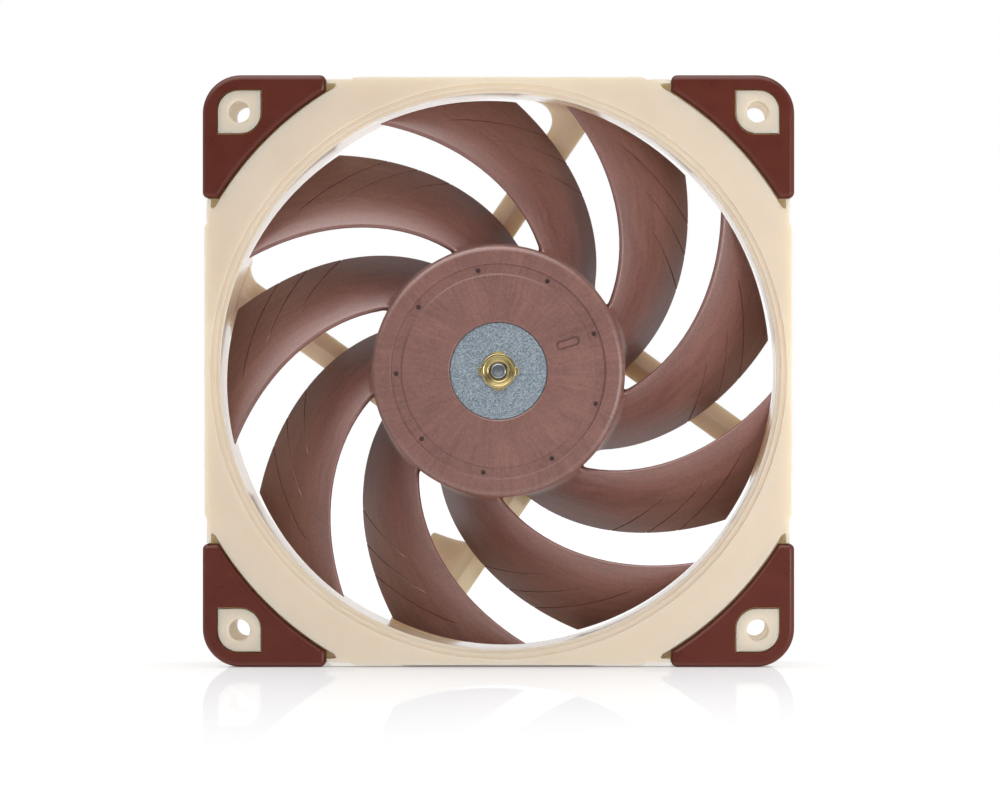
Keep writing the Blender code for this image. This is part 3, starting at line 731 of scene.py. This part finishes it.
def blade_across(radius, chord):
    """The direction across the blade, towards its front, square to the radius to keep the tip round."""
    step = 0.01
    along = blade_point(radius, chord + step) - blade_point(radius, chord - step)
    point = blade_point(radius, chord)
    outward = Vector((point.x, 0, point.z)).normalized()
    across = along.cross(outward).normalized()
    return across if across.y < 0 else -across


def blade_half_thickness(radius, chord):
    """Full in the middle, round at the leading edge, thin at the trailing, with a fillet at the hub."""
    if chord < 0.5:
        half = NOSE_HALF + (MIDDLE_HALF - NOSE_HALF) * math.sin(math.pi * chord)
    else:
        half = TAIL_HALF + (MIDDLE_HALF - TAIL_HALF) * math.sin(math.pi * chord)
    if chord < NOSE_CHORD:
        half *= math.sqrt(1 - (1 - chord / NOSE_CHORD) ** 2)
    if chord > 1 - TAIL_CHORD:
        half *= math.sqrt(max(0.0, 1 - (1 - (1 - chord) / TAIL_CHORD) ** 2))
    clear = max(0.0, radius - HUB_RADIUS)
    if clear < ROOT_FILLET:
        half += ROOT_FILLET - math.sqrt(ROOT_FILLET ** 2 - (ROOT_FILLET - clear) ** 2)
    return half


def row_radius(row, chord):
    """The radius along a row of the blade's grid. The rows near the grooves climb as the grooves do."""
    first, last = BLADE_GROOVES[0][0], BLADE_GROOVES[-1][0]
    if row < first:
        follow = (row - HUB_RADIUS) / (first - HUB_RADIUS)
    else:
        follow = min(1.0, (TIP_RADIUS - row) / (TIP_RADIUS - last))
    blade_width = LEAD_ROOT_ANGLE - TRAIL_ROOT_ANGLE
    return row + max(0.0, follow) * BLADE_GROOVE_SLOPE * blade_width * (1 - chord)


def groove_cut(row, chord):
    """How deep the fine grooves cut into the blade's front."""
    for groove_row, spanned in BLADE_GROOVES:
        near = 1 - abs(row - groove_row) / BLADE_GROOVE_HALF
        if near > 0:
            left = spanned - (LEAD_ROOT_ANGLE - TRAIL_ROOT_ANGLE) * (1 - chord)
            return BLADE_GROOVE_DEPTH * near * min(1.0, max(0.0, left / BLADE_GROOVE_FADE))
    return 0.0


def blade_rows():
    """Rows from root to tip by radius at the trailing edge, close together at fillet and grooves."""
    rows = [ROOT_RADIUS, HUB_RADIUS - UNDER_HUB]
    for step in range(FILLET_ROWS + 1):
        rows.append(HUB_RADIUS + ROOT_FILLET * (step / FILLET_ROWS) ** FILLET_SPREAD)
    for groove_row, _ in BLADE_GROOVES:
        start = rows[-1]
        gap = groove_row - BLADE_GROOVE_HALF - start
        steps = math.ceil(gap / BLADE_ROW_GAP)
        rows += [start + gap * step / steps for step in range(1, steps)]
        rows += [groove_row + BLADE_GROOVE_HALF * part for part in GROOVE_ROWS]
    start = rows[-1]
    last = TIP_RADIUS - TIP_ROUNDING[0][0]
    rows += [start + (last - start) * step / TIP_ROWS for step in range(1, TIP_ROWS)]
    return rows


def blade_chords(steps):
    """Places along the chord, close together at both rounded edges."""
    quarter = math.pi / 2
    nose = [NOSE_CHORD * (1 - math.cos(quarter * step / NOSE_STEPS)) for step in range(NOSE_STEPS)]
    middle = [NOSE_CHORD + (1 - TAIL_CHORD - NOSE_CHORD) * step / steps for step in range(steps)]
    tail = [
        1 - TAIL_CHORD * (1 - math.sin(quarter * step / TAIL_STEPS))
        for step in range(TAIL_STEPS + 1)]
    return nose + middle + tail


def blade():
    """One blade as a closed shell. Its last rows grow thinner and round the tip over."""
    front_chords = blade_chords(FRONT_CHORD_STEPS)
    back_chords = blade_chords(BACK_CHORD_STEPS)[-2:0:-1]
    bm = bmesh.new()
    rings = []
    rows = [(row, 1.0) for row in blade_rows()]
    rows += [(TIP_RADIUS - inset, thinning) for inset, thinning in TIP_ROUNDING]
    for row, thinning in rows:
        ring = []
        for chord in front_chords:
            radius = row_radius(row, chord)
            shift = blade_half_thickness(radius, chord) * thinning - groove_cut(row, chord)
            front = blade_point(radius, chord) + blade_across(radius, chord) * shift
            ring.append(bm.verts.new(front))
        for chord in back_chords:
            radius = row_radius(row, chord)
            shift = blade_half_thickness(radius, chord) * thinning
            back = blade_point(radius, chord) - blade_across(radius, chord) * shift
            ring.append(bm.verts.new(back))
        rings.append(ring)
    for inner, outer in zip(rings, rings[1:]):
        for corner in range(len(inner)):
            beside = (corner + 1) % len(inner)
            bm.faces.new((inner[corner], inner[beside], outer[beside], outer[corner]))
    bm.faces.new(rings[0])
    bm.faces.new(rings[-1])
    return bm


def blades():
    """The first blade and its turned copies."""
    first = blade()
    shells = [first]
    for index in range(1, BLADES):
        copy = first.copy()
        onward = spin_turn(360 / BLADES * index)
        bmesh.ops.rotate(copy, cent=(0, 0, 0), matrix=onward, verts=copy.verts)
        shells.append(copy)
    return shells


def hub_shell():
    """The turned shell of the hub, with the shallow ring groove round its face."""
    groove_inner, groove_outer = RING_GROOVE
    corners = [
        (HUB_HOLE_RADIUS, HUB_FACE, 0.35),
        (groove_inner, HUB_FACE, 0.1),
        (groove_inner + RING_SLOPE, RING_GROOVE_FLOOR, 0.08),
        (groove_outer - RING_SLOPE, RING_GROOVE_FLOOR, 0.08),
        (groove_outer, HUB_FRONT, 0.15),
        (HUB_RADIUS, HUB_FRONT, HUB_SHOULDER),
        (HUB_RADIUS, HUB_REAR, 0.3),
        (HUB_INSIDE, HUB_REAR, 0.2),
        (HUB_INSIDE, HUB_PLATE_BACK, 0.4),
        (HUB_HOLE_RADIUS, HUB_PLATE_BACK, 0.1),
    ]
    return turned(rounded(corners, 7), ROUND_STEPS)


def dimple(index):
    """One of the small blind holes round the floor of the ring groove."""
    centre = polar(DIMPLE_CIRCLE, DIMPLE_ANGLE + 360 / DIMPLES * index)
    outline = circle(DIMPLE_RADIUS, DIMPLE_STEPS, centre)
    return prism(outline, FRONT - CUT_REACH, RING_GROOVE_FLOOR + DIMPLE_DEPTH)


def hub_mark(inset, front, back):
    """A blank obround on the hub's face, drawn in from its full size by an inset."""
    reach = SLOT_HALF_LENGTH - SLOT_RADIUS
    radius = SLOT_RADIUS - inset
    outline = arc(radius, -90, 90, 10, (reach, 0)) + arc(radius, 90, 270, 10, (-reach, 0))
    outline = [(x + SLOT_PLACE[0], z + SLOT_PLACE[1]) for x, z in turn_points(outline, SLOT_TILT)]
    return prism(outline, front, back)


def make_impeller():
    """Cuts the hub's marks first, then joins the blades to it as one moulding."""
    hub = make_piece("hub", hub_shell())
    mark_floor = HUB_FACE + SLOT_DEPTH
    recess = hub_mark(0, FRONT - CUT_REACH, mark_floor)
    carve(hub, recess, *[dimple(index) for index in range(DIMPLES)])
    shell = bmesh.new()
    shell.from_mesh(hub.data)
    bmesh.ops.scale(shell, vec=(1 / MM, 1 / MM, 1 / MM), verts=shell.verts)
    bpy.data.objects.remove(hub)
    island = hub_mark(SLOT_GROOVE, HUB_FACE + LAP, mark_floor + LAP)
    impeller = make_piece("impeller_moulding", shell, island, *blades())
    flatten_shading(impeller)
    place(impeller, ROTOR, "brown_plastic", brown_plastic(), "impeller")


# ---------------------------------------- bush and shaft

def make_bush():
    """The turned brass bush: a bright collar, a stepped dish round the shaft, and four tabs."""
    corners = [(BUSH_BORE, BUSH_FRONT + BUSH_DISH[0][1], 0.04)]
    corners += [(radius, BUSH_FRONT + depth, rounding) for radius, depth, rounding in BUSH_DISH]
    corners += [
        (BUSH_RIM_RADIUS, BUSH_FRONT, 0.05),
        (BUSH_COLLAR_RADIUS, BUSH_FRONT, 0.15),
        (BUSH_COLLAR_RADIUS, BUSH_COLLAR_BACK, 0),
        (BUSH_BODY_RADIUS, BUSH_COLLAR_BACK, 0),
        (BUSH_BODY_RADIUS, BUSH_REAR, 0.2),
        (BUSH_BORE, BUSH_REAR, 0.1),
    ]
    shells = [turned(rounded(corners, 4), SMALL_STEPS)]
    for quarter, (half_width, reach) in enumerate(TABS):
        outline = rounded([
            (BUSH_RIM_RADIUS, -half_width, 0),
            (reach, -half_width, 0.2),
            (reach, half_width, 0.2),
            (BUSH_RIM_RADIUS, half_width, 0),
        ])
        tab = prism(turn_points(outline, 90 * quarter), BUSH_FRONT + LAP, BUSH_COLLAR_BACK)
        shells.append(round_front(tab, BUSH_FRONT + LAP, 0.1, 3))
    bush = make_piece("turned_bush", *shells)
    flatten_shading(bush)
    place(bush, ROTOR, "brass", turned_brass(), "hub_bush")


def make_shaft():
    """The ground shaft, with a fine ring in its front end and the groove for its clip."""
    groove_front, groove_rear = CLIP_GROOVE
    corners = [(radius, SHAFT_FRONT + depth, rounding) for radius, depth, rounding in SHAFT_END]
    corners += [
        (SHAFT_RADIUS, groove_front, 0),
        (CLIP_GROOVE_RADIUS, groove_front, 0),
        (CLIP_GROOVE_RADIUS, groove_rear, 0),
        (SHAFT_RADIUS, groove_rear, 0),
        (SHAFT_RADIUS, SHAFT_REAR, 0.2),
        (0, SHAFT_REAR, 0),
    ]
    shaft = make_piece("ground_shaft", turned(rounded(corners, 4), SMALL_STEPS))
    flatten_shading(shaft)
    place(shaft, ROTOR, "bright_steel", bright_steel(), "shaft")


# ---------------------------------------- materials

def add_node(tree, kind, inputs=None, **settings):
    """A shader node with its settings, and its inputs given as values or as other nodes' outputs."""
    made = tree.nodes.new(kind)
    for name, value in settings.items():
        setattr(made, name, value)
    for socket, value in (inputs or {}).items():
        if isinstance(value, bpy.types.NodeSocket):
            tree.links.new(value, made.inputs[socket])
        else:
            made.inputs[socket].default_value = value
    return made


def millimetres(tree):
    """The piece's own coordinates, in millimetres."""
    where = add_node(tree, "ShaderNodeTexCoord").outputs["Object"]
    scaled = add_node(tree, "ShaderNodeVectorMath", {0: where, "Scale": 1 / MM}, operation="SCALE")
    return scaled.outputs[0]


def noise(tree, where, scale, detail=3.0, roughness=0.5):
    made = add_node(tree, "ShaderNodeTexNoise",
                    {"Vector": where, "Scale": scale, "Detail": detail, "Roughness": roughness})
    return made.outputs["Fac"]


def radius_of(tree, where):
    """How far a place is from the spin axis."""
    parts = add_node(tree, "ShaderNodeSeparateXYZ", {0: where})
    flat = add_node(tree, "ShaderNodeCombineXYZ", {0: parts.outputs[0], 2: parts.outputs[2]})
    length = add_node(tree, "ShaderNodeVectorMath", {0: flat.outputs[0]}, operation="LENGTH")
    return length.outputs["Value"]


def mix_colours(tree, factor, first, second):
    """A colour between two given as (red, green, blue)."""
    made = add_node(
        tree, "ShaderNodeMix", {0: factor, 6: (*first, 1.0), 7: (*second, 1.0)}, data_type="RGBA")
    return made.outputs[2]


def ramp(tree, value, low, high, to_low=0.0, to_high=1.0):
    """Maps a value between low and high to the other range, and holds it at the ends."""
    made = add_node(tree, "ShaderNodeMapRange", {
        "Value": value, "From Min": low, "From Max": high, "To Min": to_low, "To Max": to_high})
    return made.outputs["Result"]


def math_node(tree, operation, first, second=0.0):
    return add_node(tree, "ShaderNodeMath", {0: first, 1: second}, operation=operation).outputs[0]


def times(tree, first, second):
    return math_node(tree, "MULTIPLY", first, second)


def plus(tree, first, second):
    return math_node(tree, "ADD", first, second)


def bump(tree, height, strength, distance):
    made = add_node(
        tree, "ShaderNodeBump", {"Height": height, "Strength": strength, "Distance": distance})
    return made.outputs["Normal"]


def new_material(name, **sockets):
    """A material with its even values on the shader's sockets. Also returns its tree and shader."""
    material = bpy.data.materials.new(name)
    material.use_nodes = True
    shader = material.node_tree.nodes["Principled BSDF"]
    for socket, value in sockets.items():
        shader.inputs[socket.replace("_", " ")].default_value = value
    return material, material.node_tree, shader


@functools.cache
def beige_plastic():
    """Satin moulded plastic with a faint mottle and a very fine grain, polished on the duct's wall."""
    material, tree, shader = new_material(
        "beige_plastic", IOR=1.46, Subsurface_Weight=0.75, Subsurface_Radius=(1.0, 0.85, 0.65),
        Subsurface_Scale=0.0055)
    where = millimetres(tree)
    mottle = ramp(tree, noise(tree, where, 0.09, 4.0), 0.3, 0.7)
    colour = mix_colours(tree, mottle, (0.705, 0.600, 0.475), (0.730, 0.625, 0.500))
    tree.links.new(colour, shader.inputs["Base Color"])
    radius = radius_of(tree, where)
    on_wall = times(tree, ramp(tree, radius, BORE_RADIUS - 0.2, BORE_RADIUS - 0.1),
                    ramp(tree, radius, OUTLET_RADIUS, OUTLET_RADIUS - 0.1))
    satin = ramp(tree, mottle, 0, 1, 0.42, 0.50)
    polish = times(tree, on_wall, DUCT_POLISH)
    tree.links.new(math_node(tree, "SUBTRACT", satin, polish), shader.inputs["Roughness"])
    tree.links.new(bump(tree, noise(tree, where, 5.0, 2.0), 0.12, 0.00003), shader.inputs["Normal"])
    return material


@functools.cache
def brown_rubber():
    """Satin silicone with a soft haze."""
    material, tree, shader = new_material("brown_rubber", IOR=1.45, Specular_IOR_Level=0.3)
    where = millimetres(tree)
    mottle = ramp(tree, noise(tree, where, 0.22, 3.0), 0.3, 0.7)
    colour = mix_colours(tree, mottle, (0.096, 0.018, 0.010), (0.110, 0.022, 0.012))
    tree.links.new(colour, shader.inputs["Base Color"])
    tree.links.new(ramp(tree, mottle, 0, 1, 0.27, 0.33), shader.inputs["Roughness"])
    tree.links.new(bump(tree, noise(tree, where, 7.0, 2.0), 0.15, 0.00003), shader.inputs["Normal"])
    return material


def swirled(tree, where):
    """The same places, pushed about by a slow swirl of a few millimetres."""
    swirl = add_node(tree, "ShaderNodeTexNoise", {"Vector": where, "Scale": 0.11, "Detail": 1.5})
    centred = add_node(
        tree, "ShaderNodeVectorMath", {0: swirl.outputs["Color"], 1: (0.5, 0.5, 0.5)},
        operation="SUBTRACT")
    pushed = add_node(
        tree, "ShaderNodeVectorMath", {0: centred.outputs[0], "Scale": 3.0}, operation="SCALE")
    moved = add_node(
        tree, "ShaderNodeVectorMath", {0: where, 1: pushed.outputs[0]}, operation="ADD")
    return moved.outputs[0]


def flow_lines(tree, where, across):
    """Streaks that run out along the hub's radius and then along the swept blades."""
    warped = swirled(tree, where)
    parts = add_node(tree, "ShaderNodeSeparateXYZ", {0: warped})
    x, depth, z = (parts.outputs[index] for index in range(3))
    radius = radius_of(tree, warped)
    beyond_hub = math_node(tree, "MAXIMUM", math_node(tree, "SUBTRACT", radius, HUB_RADIUS))
    sweep = math.radians(LEAD_SWEEP) / (TIP_RADIUS - HUB_RADIUS)
    around = math_node(tree, "ARCTAN2", z, x)
    angle = math_node(tree, "SUBTRACT", around, times(tree, beyond_hub, sweep))
    stretched = add_node(tree, "ShaderNodeCombineXYZ", {
        0: times(tree, math_node(tree, "COSINE", angle), across),
        1: times(tree, math_node(tree, "SINE", angle), across),
        2: times(tree, plus(tree, radius, depth), 0.10)})
    return noise(tree, stretched.outputs[0], 1.0, 5.0, 0.62)


@functools.cache
def brown_plastic():
    """Satin glass-filled plastic whose flow lines show as fine darker and lighter streaks."""
    material, tree, shader = new_material("brown_plastic", IOR=1.58, Specular_IOR_Level=0.8)
    where = millimetres(tree)
    streaks = times(tree, flow_lines(tree, where, 34.0), 0.35)
    sectors = times(tree, flow_lines(tree, where, 3.2), 0.3)
    grain = times(tree, noise(tree, where, 2.2, 2.0), 0.35)
    blend = ramp(tree, plus(tree, plus(tree, streaks, sectors), grain), 0.38, 0.62)
    colour = mix_colours(tree, blend, (0.122, 0.039, 0.028), (0.218, 0.083, 0.064))
    tree.links.new(colour, shader.inputs["Base Color"])
    tree.links.new(ramp(tree, blend, 0, 1, 0.38, 0.46), shader.inputs["Roughness"])
    tree.links.new(bump(tree, blend, 0.2, 0.00004), shader.inputs["Normal"])
    return material


@functools.cache
def galvanised_steel():
    """Blue-grey zinc with a fine sparkling speckle."""
    material, tree, shader = new_material("galvanised_steel", Metallic=0.75)
    where = millimetres(tree)
    cells = add_node(tree, "ShaderNodeTexVoronoi", {"Vector": where, "Scale": 7.0})
    grains = add_node(tree, "ShaderNodeSeparateColor", {0: cells.outputs["Color"]})
    fine = noise(tree, where, 3.0, 2.0)
    blend = plus(tree, times(tree, grains.outputs[0], 0.7), times(tree, fine, 0.3))
    colour = mix_colours(tree, blend, (0.028, 0.055, 0.088), (0.45, 0.51, 0.55))
    tree.links.new(colour, shader.inputs["Base Color"])
    tree.links.new(ramp(tree, grains.outputs[1], 0, 1, 0.38, 0.62), shader.inputs["Roughness"])
    tree.links.new(bump(tree, grains.outputs[0], 0.3, 0.00004), shader.inputs["Normal"])
    return material


def turning_rings(tree, where, pitch):
    """The fine rings that a lathe leaves, as a height from 0 to 1."""
    along = times(tree, radius_of(tree, where), 1 / pitch)
    stacked = add_node(tree, "ShaderNodeCombineXYZ", {0: along})
    return noise(tree, stacked.outputs[0], 1.0, 2.0)


@functools.cache
def turned_brass():
    """Brass with the fine rings of the lathe."""
    material, tree, shader = new_material("turned_brass", Metallic=1.0)
    rings = turning_rings(tree, millimetres(tree), 0.09)
    colour = mix_colours(tree, rings, (0.34, 0.255, 0.10), (0.52, 0.42, 0.21))
    tree.links.new(colour, shader.inputs["Base Color"])
    tree.links.new(ramp(tree, rings, 0.3, 0.7, 0.18, 0.32), shader.inputs["Roughness"])
    tree.links.new(bump(tree, rings, 0.25, 0.00003), shader.inputs["Normal"])
    return material


@functools.cache
def bright_steel():
    """Ground steel with very fine rings."""
    material, tree, shader = new_material("bright_steel", Metallic=1.0)
    rings = turning_rings(tree, millimetres(tree), 0.05)
    colour = mix_colours(tree, rings, (0.20, 0.22, 0.24), (0.32, 0.34, 0.36))
    tree.links.new(colour, shader.inputs["Base Color"])
    tree.links.new(ramp(tree, rings, 0.3, 0.7, 0.22, 0.34), shader.inputs["Roughness"])
    return material


@functools.cache
def mottled(name, dark, light, roughness, metallic, scale):
    """A plain material with a mottle of the given scale and a matching fine relief."""
    material, tree, shader = new_material(name, Roughness=roughness, Metallic=metallic)
    where = millimetres(tree)
    mottle = ramp(tree, noise(tree, where, scale, 3.0), 0.3, 0.7)
    tree.links.new(mix_colours(tree, mottle, dark, light), shader.inputs["Base Color"])
    tree.links.new(bump(tree, mottle, 0.2, 0.00002), shader.inputs["Normal"])
    return material


@functools.cache
def banded(name, dark, light, roughness, pitch):
    """Metal with even bands along the depth, for stacked sheets and wound wire."""
    material, tree, shader = new_material(name, Roughness=roughness, Metallic=1.0)
    parts = add_node(tree, "ShaderNodeSeparateXYZ", {0: millimetres(tree)})
    wave = math_node(tree, "SINE", times(tree, parts.outputs[1], math.tau / pitch))
    bands = ramp(tree, wave, -1, 1)
    tree.links.new(mix_colours(tree, bands, dark, light), shader.inputs["Base Color"])
    tree.links.new(bump(tree, bands, 0.6, 0.00006), shader.inputs["Normal"])
    return material


# The look of each slot, for the CAD nodes that stay as they are: the function that makes it, and what
# it is given. A mottle has two colours, a roughness, how metallic it is, and its scale per millimetre.
# Bands have two colours, a roughness, and their pitch in millimetres.
SLOT_LOOKS = {
    "galvanised_steel": (galvanised_steel,),
    "bright_steel": (bright_steel,),
    "brass": (mottled, "plain_brass", (0.60, 0.44, 0.17), (0.74, 0.58, 0.28), 0.35, 1.0, 1.0),
    "bronze": (mottled, "sintered_bronze", (0.26, 0.15, 0.07), (0.45, 0.28, 0.14), 0.5, 0.9, 6.0),
    "magnet": (mottled, "black_magnet", (0.012, 0.012, 0.014), (0.03, 0.03, 0.032), 0.7, 0.0, 1.2),
    "nylon": (mottled, "nylon", (0.52, 0.49, 0.42), (0.60, 0.57, 0.50), 0.5, 0.0, 0.3),
    "board": (mottled, "board_green", (0.012, 0.09, 0.035), (0.03, 0.17, 0.07), 0.35, 0.0, 0.5),
    "black_plastic": (mottled, "chip_black", (0.015, 0.015, 0.017), (0.03, 0.03, 0.032), 0.55, 0.0, 3.0),
    "black_rubber": (mottled, "seal_rubber", (0.014, 0.014, 0.015), (0.028, 0.028, 0.03), 0.75, 0.0, 1.5),
    "label_foil": (mottled, "label_foil", (0.50, 0.49, 0.47), (0.58, 0.57, 0.55), 0.38, 0.5, 4.0),
    "laminations": (banded, "laminations", (0.12, 0.12, 0.13), (0.34, 0.34, 0.35), 0.45, 0.5),
    "copper_wire": (banded, "copper_wire", (0.30, 0.10, 0.035), (0.70, 0.30, 0.12), 0.3, 0.35),
}


def place(piece, body, slot, material, *nodes):
    """Gives a new piece its material and its body, and hides the CAD nodes that it stands for."""
    piece.data.materials.clear()
    piece.data.materials.append(material)
    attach(piece, body)
    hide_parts(*nodes)


def dress_cad_nodes():
    """Gives the CAD nodes that show as they are the look of their slot."""
    for part in frame["record"]["subparts"]:
        node = frame["nodes"][part["node"]]
        if node.hide_render:
            continue
        make, *values = SLOT_LOOKS[part["material_slot"]]
        node.data.materials.clear()
        node.data.materials.append(make(*values))


# ---------------------------------------- light and view

def make_world():
    """Soft white light. The camera sees plain white. Shiny surfaces see a room that is dim in front
    and bright at the sides, with a soft box high up.
    """
    world = bpy.data.worlds.new("studio")
    bpy.context.scene.world = world
    world.use_nodes = True
    tree = world.node_tree
    tree.nodes.clear()
    way = add_node(tree, "ShaderNodeTexCoord")
    parts = add_node(tree, "ShaderNodeSeparateXYZ", {0: way.outputs["Generated"]})
    depth = parts.outputs[1]
    # What matt surfaces see
    above = ramp(tree, parts.outputs[2], -1.0, 1.0, 0.85, 1.15)
    soft = times(tree, above, ramp(tree, depth, -1.0, 0.0, 0.25, 1.1))
    # What shiny surfaces see
    sides = times(tree, ramp(tree, depth, -0.7, 0.0, 0.12, 1.5),
                  ramp(tree, depth, 0.05, 0.4, 1.0, 0.2))
    behind = ramp(tree, depth, 0.7, 0.95, 0.0, 0.70)
    towards = add_node(
        tree, "ShaderNodeVectorMath", {0: way.outputs["Generated"], 1: SOFTBOX_WAY},
        operation="DOT_PRODUCT")
    softbox = ramp(tree, towards.outputs["Value"], 0.62, 0.93, 0.0, 4.0)
    room = plus(tree, plus(tree, sides, behind), softbox)
    ray = add_node(tree, "ShaderNodeLightPath")
    lighting = add_node(tree, "ShaderNodeMix", {0: ray.outputs["Is Glossy Ray"], 2: soft, 3: room})
    strength = add_node(
        tree, "ShaderNodeMix", {0: ray.outputs["Is Camera Ray"], 2: lighting.outputs[0], 3: 1.0})
    shown = add_node(
        tree, "ShaderNodeBackground", {"Color": (1, 1, 1, 1), "Strength": strength.outputs[0]})
    add_node(tree, "ShaderNodeOutputWorld", {"Surface": shown.outputs[0]})


def make_lamp(name, place_at, size, watts):
    """A square area lamp that faces the fan."""
    data = bpy.data.lights.new(name, "AREA")
    data.size = size
    data.energy = watts
    lamp = bpy.data.objects.new(name, data)
    lamp.location = place_at
    lamp.rotation_euler = (-Vector(place_at)).to_track_quat("-Z", "Y").to_euler()
    bpy.context.scene.collection.objects.link(lamp)


def make_floor():
    """A pale glossy table that gives off an even white light of its own. It mirrors the fan less and less
    further out. Painted shade darkens its light: a painted shadow where the fan almost touches it,
    and a slight painted darkening nearer the fan.
    """
    bm = bmesh.new()
    bmesh.ops.create_grid(bm, x_segments=1, y_segments=1, size=FLOOR_HALF)
    bmesh.ops.translate(bm, vec=(0, 0, cad_bounds[0][2] - FLOOR_DROP), verts=bm.verts)
    mesh = bpy.data.meshes.new("floor")
    bm.to_mesh(mesh)
    bm.free()
    floor = bpy.data.objects.new("floor", mesh)
    bpy.context.scene.collection.objects.link(floor)
    material = bpy.data.materials.new("pale_table")
    material.use_nodes = True
    tree = material.node_tree
    tree.nodes.clear()
    way = add_node(tree, "ShaderNodeTexCoord")
    distance = add_node(tree, "ShaderNodeVectorMath", {0: way.outputs["Object"]}, operation="LENGTH")
    mirror = ramp(tree, distance.outputs["Value"], 0.06, 0.42, 0.22, 0.0)
    # Painted shadow: ambient occlusion darkens the table's own light where the fan almost touches it.
    painted_contact_shadow = add_node(tree, "ShaderNodeAmbientOcclusion", {"Distance": CONTACT_SHADE})
    # The table's own light is also painted a little darker nearer the middle under the fan, 0.52 against
    # 0.56.
    glow_with_painted_shade = times(tree, ramp(tree, painted_contact_shadow.outputs["AO"], 0.0, 0.5, 0.25, 1.0),
                 ramp(tree, distance.outputs["Value"], 0.07, 0.60, 0.52, 0.56))
    matt = add_node(tree, "ShaderNodeBsdfDiffuse", {"Color": (0.55, 0.55, 0.55, 1)})
    white = add_node(tree, "ShaderNodeEmission", {"Color": (0.97, 0.97, 1, 1), "Strength": glow_with_painted_shade})
    base = add_node(tree, "ShaderNodeAddShader", {0: matt.outputs[0], 1: white.outputs[0]})
    gloss = add_node(tree, "ShaderNodeBsdfGlossy", {"Color": (1, 1, 0.93, 1), "Roughness": 0.02})
    both = add_node(tree, "ShaderNodeMixShader", {0: mirror, 1: base.outputs[0], 2: gloss.outputs[0]})
    add_node(tree, "ShaderNodeOutputMaterial", {"Surface": both.outputs[0]})
    mesh.materials.append(material)


def make_camera():
    """Looks straight along +Y. The shift puts the fan's centre where it belongs in the frame."""
    data = bpy.data.cameras.new("camera")
    data.sensor_width = SENSOR
    data.lens = SENSOR * CAMERA_DISTANCE / FRAME_WIDTH
    data.shift_x = VIEW_SHIFT_X
    data.shift_y = VIEW_SHIFT_Y
    data.clip_end = VIEW_END
    camera = bpy.data.objects.new("camera", data)
    camera.location = (CAMERA_X, FRONT * MM - CAMERA_DISTANCE, CAMERA_Z)
    camera.rotation_euler = (math.pi / 2, 0, 0)
    bpy.context.scene.collection.objects.link(camera)
    bpy.context.scene.camera = camera


def main():
    bpy.context.scene.view_settings.view_transform = "Standard"
    make_camera()
    make_frame()
    for corner in range(4):
        make_pad("front", corner)
        make_pad("rear", corner)
    make_impeller()
    make_bush()
    make_shaft()
    dress_cad_nodes()
    make_world()
    for name, (place_at, size, watts) in LAMPS.items():
        make_lamp(name, place_at, size, watts)
    make_floor()


main()
